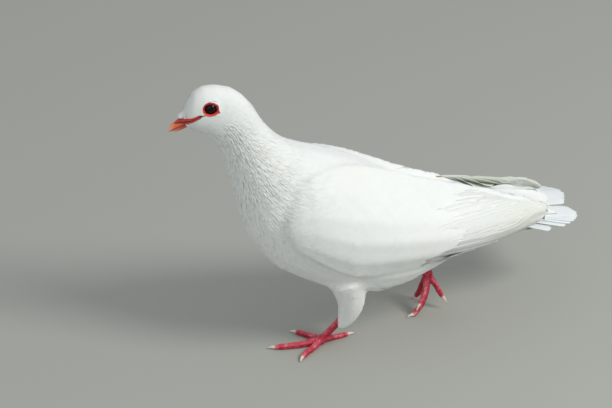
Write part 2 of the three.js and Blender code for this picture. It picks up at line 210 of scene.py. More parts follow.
def smooth_out(mesh, rounds):
    """Evens a mesh out without shrinking it: each round draws every point in, then lets it out."""
    ends = np.empty(len(mesh.edges) * 2, np.int64)
    mesh.edges.foreach_get("vertices", ends)
    ends = ends.reshape(-1, 2)
    points = read_points(mesh)
    neighbours = np.bincount(ends.ravel(), minlength=len(points)).clip(1)[:, None]
    for _ in range(rounds):
        for pull in (0.55, -0.57):
            total = np.zeros_like(points)
            for axis in range(3):
                total[:, axis] = (np.bincount(ends[:, 0], points[ends[:, 1], axis], len(points))
                                  + np.bincount(ends[:, 1], points[ends[:, 0], axis], len(points)))
            points += pull * (total / neighbours - points)
    write_points(mesh, points)


def unit(vectors):
    """Directions with a length of one."""
    return vectors / np.linalg.norm(vectors, axis=-1, keepdims=True).clip(1e-12)


# The straight bird's own measures, in mm: X ahead, Y left of its middle plane, Z above the floor.
# Its body bends to the right behind the neck, so every place is bent before it is used.
eyes = [sum(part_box("eye_" + side), Vector()) / 2 for side in ("left", "right")]
home = np.array((eyes[0] + eyes[1]) / 2) - np.array([84.8, 0, 217.2]) * mm
bend_start = 50
bend_run = 160
bend_turn = math.radians(14)


def bend_at(x):
    """How far the straight bird's X is turned and carried to the right."""
    behind = np.maximum(0, bend_start - x)
    turning = np.minimum(behind, bend_run)
    carried = bend_turn * turning ** 2 / (2 * bend_run) + math.sin(bend_turn) * (behind - turning)
    return bend_turn * turning / bend_run, carried


def bent(points):
    """Places on the straight bird, in mm, as places in the frame."""
    points = np.asarray(points, float)
    x, y, z = points[..., 0], points[..., 1], points[..., 2]
    turn, carried = bend_at(x)
    moved = np.stack([x - y * np.sin(turn), y * np.cos(turn) - carried, z], -1)
    return moved * mm + home


def straight(places):
    """The reverse of bent: places in the frame as places on the straight bird, in mm."""
    moved = (np.asarray(places, float) - home) / mm
    x, y = moved[..., 0].copy(), moved[..., 1].copy()
    for _ in range(12):
        turn, carried = bend_at(x)
        y = (moved[..., 1] + carried) / np.cos(turn)
        x = moved[..., 0] + y * np.sin(turn)
    return np.stack([x, y, moved[..., 2]], -1)


def turned(directions, x):
    """Directions on the straight bird, turned as the body is at X."""
    turn, _ = bend_at(x)
    return np.stack([
        directions[..., 0] * np.cos(turn) - directions[..., 1] * np.sin(turn),
        directions[..., 0] * np.sin(turn) + directions[..., 1] * np.cos(turn),
        directions[..., 2],
    ], -1)


# How the plumage grows, place by place over the straight bird's left side: where, the way the
# feathers lie, their length, width and depth in mm, and how far each stands up as a ridge of its
# own, from 0, smooth, to 1. Between these places all of it blends.
growth = [
    ("forehead", (102, 3, 214), (-0.70, 0, 0.70), 2.8, 1.5, 0.45, 0.05),
    ("crown", (84, 3, 230), (-1.00, 0, 0.05), 3.6, 1.8, 0.50, 0.05),
    ("hind crown", (66, 3, 225), (-0.85, 0, -0.50), 4.6, 2.0, 0.60, 0.06),
    ("nape", (53, 3, 211), (-0.50, 0, -0.86), 6.0, 2.2, 0.80, 0.20),
    ("lore", (97, 8, 209), (-0.97, 0.2, 0.05), 2.4, 1.4, 0.40, 0.06),
    ("brow", (85, 11, 225), (-1.00, 0, 0.00), 3.0, 1.5, 0.45, 0.05),
    ("ear", (70, 13, 213), (-0.90, 0, -0.45), 4.6, 1.6, 0.65, 0.30),
    ("cheek", (84, 12, 206), (-0.97, 0, -0.25), 3.6, 1.5, 0.50, 0.35),
    ("chin", (99, 3, 198), (-0.97, 0, -0.20), 2.8, 1.3, 0.50, 0.10),
    ("throat", (90, 5, 192), (-0.75, 0, -0.66), 4.8, 1.6, 0.75, 0.70),
    ("front neck", (83, 5, 180), (-0.38, 0, -0.92), 8, 1.9, 1.1, 0.30),
    ("jaw side", (72, 12, 198), (-0.72, 0, -0.69), 6.5, 1.6, 0.9, 1.00),
    ("side neck", (64, 15, 188), (-0.62, 0, -0.78), 8, 1.7, 1.1, 0.80),
    ("back neck", (46, 3, 198), (-0.52, 0, -0.85), 9, 2.6, 1.0, 0.12),
    ("low front neck", (74, 8, 155), (-0.26, 0, -0.96), 11, 2.5, 1.3, 0.30),
    ("low side neck", (54, 21, 166), (-0.62, 0, -0.78), 11, 2.1, 1.3, 0.60),
    ("low back neck", (34, 5, 185), (-0.78, 0, -0.62), 12, 4.4, 1.1, 0.10),
    ("breast", (63, 6, 122), (-0.32, 0, -0.95), 13, 4.2, 1.4, 0.16),
    ("breast side", (40, 31, 132), (-0.72, 0, -0.69), 13, 3.2, 1.3, 0.30),
    ("low breast", (42, 8, 82), (-0.76, 0, -0.65), 16, 6, 1.2, 0.06),
    ("low breast side", (30, 32, 95), (-0.88, 0, -0.45), 15, 5, 1.2, 0.10),
    ("mantle", (10, 4, 172), (-0.97, 0, -0.25), 16, 9, 1.1, 0.03),
    ("back", (-30, 4, 154), (-0.94, 0, -0.34), 19, 11, 1.1, 0.03),
    ("rump", (-80, 4, 126), (-0.92, 0, -0.38), 18, 9, 1.1, 0.03),
    ("tail coverts", (-130, 5, 104), (-0.93, 0, -0.36), 25, 9, 1.1, 0.03),
    ("belly", (0, 8, 50), (-1.00, 0, -0.12), 18, 8, 1.1, 0.05),
    ("hind belly", (-50, 8, 42), (-0.98, 0, 0.22), 18, 8, 1.1, 0.05),
    ("vent", (-100, 6, 57), (-0.95, 0, 0.32), 23, 8, 1.1, 0.05),
    ("under tail", (-145, 5, 69), (-0.98, 0, 0.18), 27, 8, 1.1, 0.04),
    ("flank", (10, 36, 73), (-0.97, 0, -0.18), 17, 7, 1.1, 0.06),
    ("hind flank", (-40, 36, 60), (-0.99, 0, 0.12), 19, 8, 1.1, 0.06),
    ("rear flank", (-90, 25, 64), (-0.97, 0, 0.22), 20, 8, 1.1, 0.05),
    ("wing bend", (31, 39, 128), (-0.95, 0.1, -0.20), 9, 6, 0.9, 0.06),
    ("fore wing", (6, 47, 122), (-0.98, 0, -0.16), 13, 9, 1.0, 0.03),
    ("shoulder", (-12, 30, 156), (-0.96, 0, -0.26), 19, 12, 1.0, 0.02),
    ("mid wing", (-40, 47, 110), (-0.99, 0, -0.13), 19, 12, 1.0, 0.02),
    ("low wing", (-18, 45, 82), (-0.98, 0, -0.18), 16, 10, 1.0, 0.04),
    ("hind wing", (-82, 41, 108), (-0.98, 0, -0.18), 27, 13, 1.0, 0.02),
    ("low hind wing", (-80, 38, 78), (-1.00, 0, -0.02), 24, 11, 1.0, 0.03),
]
thigh_growth = [
    ("thigh_left", (-20, 15, 46), (0.03, 0, -1), 9, 4.4, 1.2, 0.05),
    ("thigh_left", (-18, 13, 26), (0.35, 0, -0.93), 5, 2.4, 0.8, 0.08),
    ("thigh_right", (-48, -23, 57), (-0.88, -0.1, -0.45), 10, 4.4, 1.2, 0.05),
    ("thigh_right", (-67, -26, 47), (-0.82, 0, -0.5), 5.5, 2.4, 0.8, 0.08),
]
grown = [(*map(np.array, row[1:3]), *row[3:]) for row in growth]
grown += [(row[0] * (1, -1, 1), row[1] * (1, -1, 1), *row[2:]) for row in grown]
grown += [(*map(np.array, row[1:3]), *row[3:]) for row in thigh_growth]


def growth_at(places):
    """The lie, length, width, depth and ridge of the plumage at places in the frame, in metres."""
    spots = straight(places)
    centres = np.array([row[0] for row in grown], float)
    gaps = ((spots[:, None, :] - centres) ** 2).sum(-1)
    shares = 1 / (gaps + 9) ** 2.2
    shares /= shares.sum(1, keepdims=True)
    lie = unit(turned(shares @ np.array([row[1] for row in grown]), spots[:, 0]))
    sizes = shares @ np.array([row[2:] for row in grown])
    return lie, sizes[:, 0] * mm, sizes[:, 1] * mm, sizes[:, 2] * mm, sizes[:, 3]


# The right wing is pressed flat beside the rump: its level at stations back along the bird.
shelf_stations = np.array([-204, -196, -188, -165, -148, -131, -116, -100])
shelf_levels = np.array([76, 81.5, 86, 91.5, 95.7, 101.3, 108.8, 119])


def roof_over(x, y):
    """How high the right wing's upper side reaches: it is pressed flat, like a shelf beside the rump."""
    level = np.interp(x, shelf_stations, shelf_levels)
    sloping = level + 0.5 * (y + 14).clip(0) + 0.16 * (-14 - y).clip(0)
    return np.where((y < 4) & (x < -102), sloping, 300)


def under_roof(places, gap):
    """Places in the frame, brought down to a gap in mm below the right wing's upper side."""
    spots = straight(places)
    spots[:, 2] = np.minimum(spots[:, 2], roof_over(spots[:, 0], spots[:, 1]) - gap)
    return bent(spots)


body_voxel = 1.8 * mm
skin_gap = 0.3 * mm
skin_mesh = fused(flesh + horny, body_voxel, 14)
skin_points = read_points(skin_mesh)
_, _, _, coat_depth, _ = growth_at(skin_points)
under_horn = 2.2 * mm * ((straight(skin_points)[:, 0] - 104) / 3.5).clip(0, 1)
skin_points = skin_points - outward(skin_mesh) * (coat_depth + skin_gap + under_horn)[:, None]
write_points(skin_mesh, under_roof(skin_points, 1.6))


def mixed(material, share, first, second):
    """A colour between two others, each a socket or three numbers."""
    pick = add_node(material, "ShaderNodeMix", {0: share}, data_type="RGBA")
    for slot, colour in ((6, first), (7, second)):
        if isinstance(colour, bpy.types.NodeSocket):
            link(material, colour, pick.inputs[slot])
        else:
            pick.inputs[slot].default_value = (*colour, 1)
    return pick.outputs[2]


def calculated(material, operation, *values):
    """A number worked out from others, each a socket or a number."""
    return add_node(material, "ShaderNodeMath", dict(enumerate(values)), operation=operation).outputs[0]


def spread(material, value, low, high, bottom=0.0, top=1.0):
    """A value taken from one range to another, and held at its ends."""
    return add_node(material, "ShaderNodeMapRange",
                    {"Value": value, 1: low, 2: high, 3: bottom, 4: top}).outputs[0]


def value_of(material, title):
    """A number that the mesh holds point by point."""
    return add_node(material, "ShaderNodeAttribute", attribute_name=title).outputs["Fac"]


def raised(material, shader, height, depth, under=None):
    """Relief on a surface, its full height in metres, on top of another relief if one is given."""
    bump = add_node(material, "ShaderNodeBump", {"Height": height, "Distance": depth, "Strength": 1.0})
    if under is not None:
        link(material, under, bump.inputs["Normal"])
    link(material, bump.outputs["Normal"], shader.inputs["Normal"])
    return bump.outputs["Normal"]


def noise(material, vector, scale, detail=3):
    """A soft cloudy pattern, from 0 to 1."""
    return add_node(material, "ShaderNodeTexNoise",
                    {"Vector": vector, "Scale": scale, "Detail": detail}).outputs["Fac"]


def object_place(material):
    """The place on the bird, for patterns that are fixed to it."""
    return add_node(material, "ShaderNodeTexCoord").outputs["Object"]


hide, hide_shader = new_material("hide", (0.80, 0.79, 0.76), 0.8)
down = noise(hide, object_place(hide), 900)
link(hide, mixed(hide, down, (0.86, 0.87, 0.85), (0.74, 0.71, 0.68)), hide_shader.inputs["Base Color"])
raised(hide, hide_shader, down, 0.4 * mm)
skin = new_piece("skin", skin_mesh, [hide])
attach(skin, "root")
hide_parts(*flesh)


# ---- Body feathers --------------------------------------------------------------------------
# Contour feathers cover the skin in thousands, each a thin cambered vane. They are rooted at the
# skin, lie along the body like shingles and end in a soft fringe of barbs.

# A cushion of down fills the hollow between the folded wings and the tail, as a ramp whose rings
# have a top, a bottom and a half width at stations back along the bird.
ramp_rings = 18
ramp_sides = 20
ramp_from, ramp_to = -70, -204
ramp_stations = np.array([-204, -190, -178, -158, -132, -104, -70])
ramp_tops = np.array([72, 81.5, 89, 99, 110, 121.5, 132.5])
ramp_halves = np.array([14, 16, 17, 17, 14, 9, 8])
x = np.linspace(ramp_from, ramp_to, ramp_rings)[:, None]
turn = np.linspace(0, 2 * math.pi, ramp_sides, endpoint=False)
ramp_top = np.interp(x, ramp_stations, ramp_tops)
ramp_low = 71 + 14 * (x + 200) / 130
boxy_cos, boxy_sin = (np.sign(wave) * np.abs(wave) ** 0.75 for wave in (np.cos(turn), np.sin(turn)))
right_half = (-boxy_cos).clip(0)
right_wider = 1 + 0.4 * ((-115 - x) / 40).clip(0, 1) * (right_half > 0)
ramp_half = np.interp(x, ramp_stations, ramp_halves) * right_wider
above_shelf = np.interp(x, shelf_stations, shelf_levels) + 3.5
right_raise = (above_shelf - ramp_top).clip(0) * right_half ** 0.5 * (boxy_sin > 0)
ramp = np.stack([x + 0 * turn, -3 * (x + 138).clip(max=0) / -62 + ramp_half * boxy_cos,
                 (ramp_top + ramp_low) / 2 + (ramp_top - ramp_low) / 2 * boxy_sin + right_raise], -1)
ramp_faces = [[row * ramp_sides + side, row * ramp_sides + (side + 1) % ramp_sides,
               (row + 1) * ramp_sides + (side + 1) % ramp_sides, (row + 1) * ramp_sides + side]
              for row in range(ramp_rings - 1) for side in range(ramp_sides)]
last_ring = (ramp_rings - 1) * ramp_sides
ramp_faces += [list(range(ramp_sides))[::-1], [last_ring + side for side in range(ramp_sides)]]
ramp_solid = ([Vector(place) for place in bent(ramp).reshape(-1, 3)], ramp_faces)
fill = 2.8 * mm
cushion_voxel = 1.3 * mm
cushion_mesh = fused([], cushion_voxel, 8, also=[ramp_solid])
filled_mesh = fused(["trunk", "wing_left", "wing_right"] + blades, body_voxel, 4, fill, [ramp_solid])
filled_points = read_points(filled_mesh) - outward(filled_mesh) * (fill - 0.2 * mm)
filled = ([Vector(place) for place in filled_points],
          [list(face.vertices) for face in filled_mesh.polygons])
coat_mesh = fused(flesh + face_parts + blades, body_voxel, 16, also=[filled])
coat_faces = [tuple(face.vertices) for face in coat_mesh.polygons]
coat_points = read_points(coat_mesh)
swells = [((92, 0, 227), 9, 1.2), ((100, 0, 217), 8, 0.9), ((66, -3, 227), 12, 0.8)]
for spot, reach, amount in swells:
    gap = np.linalg.norm(coat_points - bent(spot), axis=1) / (reach * mm)
    coat_points += outward(coat_mesh) * (amount * mm * np.exp(-gap ** 2))[:, None]
coat_points = under_roof(coat_points, 0)
write_points(coat_mesh, coat_points)

cushion_out = outward(cushion_mesh)
cushion_sunk = (0.7 + 2.9 * cushion_out[:, 2:].clip(0)) * mm
cushion_roof_gap, cushion_rear = 3.3, -196
spots = straight(under_roof(read_points(cushion_mesh) - cushion_out * cushion_sunk, cushion_roof_gap))
spots[:, 0] = spots[:, 0].clip(cushion_rear)
write_points(cushion_mesh, bent(spots))
down_white, down_shader = new_material("down_white", (0.88, 0.90, 0.88), 0.9)
wisps = noise(down_white, object_place(down_white), 700, 4)
link(down_white, mixed(down_white, wisps, (0.90, 0.92, 0.90), (0.84, 0.86, 0.82)),
     down_shader.inputs["Base Color"])
raised(down_white, down_shader, wisps, 0.3 * mm)
cushion = new_piece("down_cushion", cushion_mesh, [down_white])
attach(cushion, "root")

coat_out = outward(coat_mesh)
coat_tree = BVHTree.FromPolygons(coat_points.tolist(), coat_faces)
face_out = unit(np.array([coat_out[list(face)].mean(0) for face in coat_faces]))
face_middle = np.array([coat_points[list(face)].mean(0) for face in coat_faces])
face_area = np.array([face.area for face in coat_mesh.polygons])


def onto(points):
    """The nearest places on the coat's outer surface, and the way outwards there."""
    flat = points.reshape(-1, 3)
    places, faces = np.empty_like(flat), np.empty(len(flat), np.int64)
    for k, point in enumerate(flat):
        place, _, face, _ = coat_tree.find_nearest(point)
        places[k], faces[k] = place, face
    return places.reshape(points.shape), face_out[faces].reshape(points.shape)


def scatter(points, radii):
    """Picks points, in the order given, that lie no closer to each other than their radii."""
    tree = KDTree(len(points))
    for k, point in enumerate(points):
        tree.insert(point, k)
    tree.balance()
    taken = np.zeros(len(points), bool)
    kept = []
    for k, point in enumerate(points):
        if not taken[k]:
            kept.append(k)
            for _, near, _ in tree.find_range(point, radii[k]):
                taken[near] = True
    return np.array(kept)


def unwrapped(places, line):
    """A map of the skin's own shape: how far along its middle line a place is, and the turn round it."""
    spots = straight(places)
    line = np.array(line, float)
    start, run = line[:-1], np.diff(line, axis=0)
    share = (((spots[:, None] - start) * run).sum(-1) / (run ** 2).sum(-1)).clip(0, 1)
    offset = spots[:, None] - (start + run * share[..., None])
    nearest = (offset ** 2).sum(-1).argmin(1)
    rows = np.arange(len(spots))
    lengths = np.linalg.norm(run, axis=1)
    before = np.concatenate([[0], np.cumsum(lengths)[:-1]])
    along = (before[nearest] + share[rows, nearest] * lengths[nearest]) / lengths.sum()
    ahead = run[nearest] / lengths[nearest][:, None]
    offset = offset[rows, nearest]
    upward = unit(np.cross(ahead, np.cross((0, 0, 1) + 0 * ahead + np.array([0.01, 0, 0]), ahead)))
    leftward = np.cross(upward, ahead)
    turn = np.arctan2((offset * leftward).sum(1), (offset * upward).sum(1)) / (2 * math.pi) + 0.5
    return np.stack([along, turn], 1)


def traced(roots, lie, lengths, s):
    """The lines that feathers follow over the coat: places, ways ahead and ways outwards."""
    places, out = onto(roots)
    ahead = unit(lie - out * (lie * out).sum(1, keepdims=True))
    yaw = ahead - growth_at(places)[0]
    path = [(places, ahead, out)]
    for share in np.diff(s):
        places, out = onto(places + ahead * (lengths * share)[:, None])
        way = growth_at(places)[0] + yaw
        ahead = unit(way - out * (way * out).sum(1, keepdims=True))
        path.append((places, ahead, out))
    return [np.stack(part, 1) for part in zip(*path)]


def rows_along(rows):
    """Where a vane's rows of points lie along it, closer together towards its tip."""
    return 1 - (1 - np.linspace(0, 1, rows)) ** 1.6


def vane_coordinates(rows, across, count):
    """Where each point of a vane lies on it: 0 to 1 across and along it, for every feather."""
    t, s = np.meshgrid(np.linspace(0, 1, across), rows_along(rows))
    return np.tile(np.stack([t.ravel(), s.ravel()], 1), (count, 1))


def sheet_faces(rows, across, count):
    """The four-sided faces of many grids of points."""
    corner = (np.arange(rows - 1)[:, None] * across + np.arange(across - 1)).ravel()
    grid = np.stack([corner, corner + across, corner + across + 1, corner + 1], 1)
    return (grid[None] + (np.arange(count) * rows * across)[:, None, None]).reshape(-1, 4)


def give_values(mesh, values):
    """Numbers for a mesh to hold point by point, each list with its title."""
    for title, numbers in values:
        mesh.attributes.new(title, "FLOAT", "POINT").data.foreach_set("value", numbers)


def mesh_of(name, points, faces, maps=(), values=()):
    """A mesh from arrays, with UV maps and values that are given point by point."""
    mesh = bpy.data.meshes.new(name)
    mesh.vertices.add(len(points))
    mesh.vertices.foreach_set("co", points.ravel())
    mesh.loops.add(faces.size)
    mesh.loops.foreach_set("vertex_index", faces.ravel())
    mesh.polygons.add(len(faces))
    mesh.polygons.foreach_set("loop_start", np.arange(len(faces)) * faces.shape[1])
    mesh.polygons.foreach_set("loop_total", np.full(len(faces), faces.shape[1]))
    mesh.update(calc_edges=True)
    for title, places in maps:
        mesh.uv_layers.new(name=title).data.foreach_set("uv", places[faces.ravel()].ravel())
    give_values(mesh, values)
    mesh.validate()
    return mesh


patch = 0.003


def bake_map(places, line, vane, points_each):
    """Each feather's patch at its root's place on the map of the skin."""
    spots = unwrapped(places, line)
    low, high = spots.min(0), spots.max(0)
    spots = 0.01 + 0.98 * (spots - low) / (high - low).clip(1e-6)
    return np.repeat(spots, points_each, 0) + (vane - 0.5) * patch


def vanes(roots, lie, lengths, widths, depths, ridges, lifts, rows, across, shape, chance):
    """Points of many body feathers, each a grid of rows from its root to its tip."""
    count = len(roots)
    s = rows_along(rows)
    places, ahead, out = traced(roots, lie, lengths, s)
    outline = shape["root"] + (1 - shape["root"]) * np.sin(math.pi / 2 * (s / shape["widest"]).clip(0, 1))
    narrowing = ((s - shape["widest"]) / (1 - shape["widest"])).clip(0, 1)
    outline = outline * np.maximum((1 - narrowing ** shape["point"]) ** (1 / shape["point"]), shape["tip"])
    half = widths[:, None] / 2 * outline
    sideways = np.cross(out, ahead)
    left, left_out = onto(places + sideways * half[..., None])
    right, right_out = onto(places - sideways * half[..., None])
    t = np.linspace(-1, 1, across)[:, None]
    bow = [1 - t ** 2, (t ** 2 + t) / 2, (t ** 2 - t) / 2]
    lines = [places[:, :, None], left[:, :, None], right[:, :, None]]
    ways = [out[:, :, None], left_out[:, :, None], right_out[:, :, None]]
    grid = sum(share * line for share, line in zip(bow, lines))
    rise = unit(sum(share * way for share, way in zip(bow, ways)))
    level = (s ** shape["lie"] - 1)[None, :] * depths[:, None] + s[None, :] * lifts[:, None]
    camber = ridges[:, None, None] * half[..., None] * t[:, 0] ** 2
    height = level[..., None] - camber
    teeth = chance.uniform(-1, 0.6, (count, across)) * shape["fringe"] * lengths[:, None]
    stretch = (s ** 6)[None, :, None] * teeth[:, None, :]
    points = grid + rise * height[..., None] + ahead[:, :, None] * stretch[..., None]
    return points.reshape(-1, 3), rise.reshape(-1, 3)


def root_places(chance, spacing, crowd):
    """Root places all over the coat, as dense as the feathers there are small."""
    _, lengths, widths, _, _ = growth_at(face_middle)
    gap_there = np.maximum(spacing * np.sqrt(lengths * widths), 0.52 * mm)
    wanted = face_area / gap_there ** 2
    face = chance.choice(len(coat_faces), int(wanted.sum() * crowd), p=wanted / wanted.sum())
    corners = coat_points[np.array([coat_faces[k] for k in face])]
    a, b = chance.random((2, len(face), 1))
    spots = ((corners[:, 0] * (1 - a) + corners[:, 1] * a) * (1 - b)
             + (corners[:, 3] * (1 - a) + corners[:, 2] * a) * b)
    return spots[scatter(spots, gap_there[face])]


def nearest_part(places, names):
    """The frame node that each place belongs to."""
    gaps = []
    for name in names:
        points, faces = merged_copy(name, 0)
        tree = BVHTree.FromPolygons(points, faces)
        gaps.append([tree.find_nearest(place)[3] for place in places])
    return np.array(names)[np.argmin(gaps, 0)]


def feather_material(name, bright, shade, cream, pitch, depth, sheen, painted_light_root=None):
    """A feather's vane: barbs that slant from the shaft, a second colour that is its own tone on some
    feathers and painted shade on others, and a root painted paler as painted light if asked.
    """
    material, shader = new_material(name, bright, 0.72)
    vane = add_node(material, "ShaderNodeUVMap", uv_map="Vane").outputs["UV"]
    parts = add_node(material, "ShaderNodeSeparateXYZ", {"Vector": vane})
    place = object_place(material)
    beside = calculated(material, "ABSOLUTE", calculated(material, "SUBTRACT", parts.outputs["X"], 0.5))
    slant = calculated(material, "MULTIPLY_ADD", beside, -1.1, parts.outputs["Y"])
    wander = noise(material, place, 500, 2)
    slant = calculated(material, "MULTIPLY_ADD", wander, 0.05, slant)
    barbs = calculated(material, "MULTIPLY", value_of(material, "length"), 2 * math.pi / pitch)
    lines = calculated(material, "SINE", calculated(material, "MULTIPLY", slant, barbs))
    # The value each feather holds mixes in the second colour: for the body's plumage and the right wing's
    # flight feathers that is painted shade, elsewhere the feather's own tone.
    body = mixed(material, value_of(material, "tone_and_painted_shade"), bright, shade)
    warm = spread(material, noise(material, place, 22, 3), 0.50, 0.72, 0.0, 0.55)
    body = mixed(material, warm, body, cream)
    # Painted light: the root, when given, is painted paler.
    if painted_light_root:
        body = mixed(material, spread(material, parts.outputs["Y"], 0.42, 0.90), painted_light_root, body)
    link(material, body, shader.inputs["Base Color"])
    link(material, spread(material, wander, 0, 1, 0.62, 0.85), shader.inputs["Roughness"])
    shader.inputs["Sheen Weight"].default_value = sheen
    shader.inputs["Sheen Roughness"].default_value = 0.45
    raised(material, shader, lines, depth)
    return material


chance = np.random.default_rng(7)
roots = root_places(chance, 0.25, 5)
part_of = nearest_part(roots, flesh + face_parts + blades)
x, y, z = straight(roots).T
ramp_edge = np.interp(x, ramp_stations, ramp_halves) + 1
drop = 4 + 10 * ((-140 - x) / 20).clip(0, 1) * (y > 0)
on_ramp = ((x > -185) & (x < -95)
           & (z > np.minimum(np.interp(x, ramp_stations, ramp_tops), roof_over(x, y)) - drop)
           & (y < ramp_edge) & (y > -np.where(x > -122, 26, np.minimum(ramp_edge, 14.5))))
part_of[on_ramp & np.isin(part_of, blades)] = "trunk"
# The plumage's second colour, a dull olive grey, is painted shade for the furrows between feathers.
plumage = feather_material("plumage", (0.875, 0.90, 0.885), (0.66, 0.68, 0.62), (0.87, 0.87, 0.80),
                           0.42 * mm, 0.010 * mm, 0.10)
body_line = [(118, 0, 198), (84, 0, 212), (62, 0, 190), (50, 0, 150), (10, 0, 112), (-60, 0, 92),
             (-175, 0, 80)]
thigh_lines = {
    "thigh_left": [(-18, 16, 64), (-22, 14, 38), (-15, 12, 19)],
    "thigh_right": [(-30, -15, 70), (-54, -16, 53), (-72, -14, 45)],
}
soft = {"root": 0.40, "widest": 0.55, "tip": 0.20, "point": 2.0, "lie": 0.85, "fringe": 0.02}
tight = {"root": 0.50, "widest": 0.50, "tip": 0.25, "point": 2.2, "lie": 0.85, "fringe": 0.006}
fine = {"root": 0.50, "widest": 0.45, "tip": 0.15, "point": 1.8, "lie": 0.90, "fringe": 0.04}
coats = [
    ("head", fine, 5, 3, body_line),
    ("neck", fine, 6, 3, body_line),
    ("trunk", soft, 6, 5, body_line),
    ("wing_left", tight, 7, 7, body_line),
    ("wing_right", tight, 7, 7, body_line),
    ("thigh_left", soft, 5, 5, thigh_lines["thigh_left"]),
    ("thigh_right", soft, 5, 5, thigh_lines["thigh_right"]),
]
# Bare skin that feathers keep clear of: the rings of the eyes, the corners of the mouth and the cere.
gape_line = np.array([
    (106.5, 3.9, 204.3), (104.6, 4.8, 205.2), (102.4, 5.6, 206.3), (100, 6.5, 207.5), (97.7, 7.3, 208.8),
    (95.4, 8.2, 210.2), (93.2, 9.0, 211.5), (91.0, 9.8, 212.2), (88.9, 10.3, 212.6)])
gape_half = np.array([1.9, 2.3, 2.45, 2.4, 2.2, 2.05, 1.85, 0.45, 0.30])
bare_by_eye = [(0.5, -0.3, 5.65), (-0.5, -0.3, 5.65), (-6.4, -2.7, 0.9)]
bare_by_cere = [(100.2, 5.0, 210.8, 1.7), (101.8, 4.4, 210.5, 1.9), (100.9, 3.2, 210.4, 1.7),
                (102.8, 2.2, 209.4, 1.9), (105, 2, 208.6, 2.1), (107, 2, 207.8, 2.1)]


def gaze_of(side):
    """The way that the eye of one side looks."""
    return unit(np.array([0.207, side * 0.975, 0.07]))


bare_spots = []
for side, eye in ((1, eyes[0]), (-1, eyes[1])):
    gaze = gaze_of(side)
    for ahead, up, radius in bare_by_eye:
        spot = np.array(eye) + gaze * 3.9 * mm + bent((ahead, 0, up)) - bent((0, 0, 0))
        bare_spots.append((spot, gaze, radius * mm))
    for place, half in zip(gape_line, gape_half):
        bare_spots.append((bent(place * (1, side, 1)), None, (half + 0.1) * mm))
    bare_spots += [(bent((x, side * y, z)), None, radius * mm) for x, y, z, radius in bare_by_cere]
face_reach = 14 * mm
bare_margin = 0.25 * mm
shortest = 0.9 * mm


def trimmed(places, lie, lengths):
    """Feathers end where bare skin starts, and those rooted in it are left out."""
    kept = np.ones(len(places), bool)
    for spot, axis, radius in bare_spots:
        gap = spot - places
        near = (gap ** 2).sum(1) < face_reach ** 2
        way = lie
        if axis is not None:
            gap = gap - (gap @ axis)[:, None] * axis
            way = lie - (lie @ axis)[:, None] * axis
        speed = (way ** 2).sum(1).clip(1e-9)
        nearest = (gap * way).sum(1) / speed
        room = radius ** 2 - ((gap - way * nearest[:, None]) ** 2).sum(1)
        limit = nearest - np.sqrt(room.clip(0) / speed) + bare_margin
        reaches = near & (nearest > 0) & (room > 0)
        lengths = np.where(reaches, np.minimum(lengths, limit.clip(0.1 * mm)), lengths)
        kept &= ~(near & ((gap ** 2).sum(1) < radius ** 2)) & ~(reaches & (limit < shortest))
    return lengths, kept


for part, shape, rows, across, line in coats:
    chance = np.random.default_rng(len(part) + 11)
    mine = roots[part_of == part]
    lie, lengths, widths, depths, ridges = growth_at(mine)
    count = len(mine)
    lengths = lengths * chance.uniform(0.85, 1.2, count)
    lie = unit(lie + chance.normal(0, 0.05, (count, 3)))
    if part == "head":
        lengths, kept = trimmed(mine, lie, lengths)
        mine, lie, lengths, widths, depths, ridges = (
            measure[kept] for measure in (mine, lie, lengths, widths, depths, ridges))
        count = len(mine)
    widths = widths * chance.uniform(0.85, 1.15, count)
    own = chance.uniform(-1, 1, count)
    lifts = own * (0.03 + 0.52 * ridges) * mm
    points, rise = vanes(mine, lie, lengths, widths, depths, ridges, lifts, rows, across, shape, chance)
    vane = vane_coordinates(rows, across, count)
    each = rows * across
    # Painted shade: a feather that lies lower than its neighbours takes more of the olive-grey shade
    # colour, most where the plumage is ridged.
    tone_and_painted_shade = (0.5 - 0.5 * own) * (0.06 + 1.3 * ridges).clip(0, 1)
    coat = mesh_of("coat_" + part, points, sheet_faces(rows, across, count),
                   [("OFBake", bake_map(mine, line, vane, each)), ("Vane", vane)],
                   [("tone_and_painted_shade", np.repeat(tone_and_painted_shade, each)), ("length", np.repeat(lengths, each))])
    piece = new_piece("coat_" + part, coat, [plumage])
    own_way = outward(coat)
    blend = np.repeat(0.25 + 0.6 * (ridges / 0.5).clip(0, 1), each)[:, None]
    coat.normals_split_custom_set_from_vertices(unit(rise + (own_way - rise) * blend))
    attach(piece, "root")


# ---- Flight feathers ------------------------------------------------------------------------
# Long stiff blades close the folded wing: the outer ones reach furthest back and lie lowest, and
# each further one overlaps the last. A horny shaft runs nearer to the outer edge of each.

blade_rows = 28
blade_across = 9
blade_thickness = 0.3 * mm


def blade(path, upward, inner, outer, blunt, arch, chance):
    """A long feather's vane along its path: its points, as a grid of rows from root to tip."""
    rows = len(path)
    s = np.linspace(0, 1, rows)
    ahead = unit(np.gradient(path, axis=0))
    sideways = unit(np.cross(upward, ahead))
    upward = np.cross(ahead, sideways)
    rounding = (1 - ((s - blunt) / (1 - blunt)).clip(0, 1) ** 2.6) ** (1 / 2.6)
    profile = (0.45 + 0.55 * (s / 0.25).clip(0, 1) ** 0.7) * rounding.clip(0.12)
    nicks = 1 - 0.10 * (chance.random((rows, 2)) < 0.07) - 0.02 * chance.random((rows, 2))
    t = np.linspace(-1, 1, blade_across)
    reach = np.where(t > 0, inner, outer) * profile[:, None]
    reach = reach * np.where(t > 0, nicks[:, :1], nicks[:, 1:])
    ripple = 0.05 * mm * np.sin(s * chance.uniform(9, 17) + chance.uniform(0, 6))
    height = -arch * t ** 2 + ripple[:, None] * np.abs(t)
    lag = 0.35 * np.abs(t) * reach * (1 - 0.7 * s[:, None])
    return (path[:, None] + sideways[:, None] * (t * reach)[..., None] + upward[:, None] * height[..., None]
            - ahead[:, None] * lag[..., None]).reshape(-1, 3)


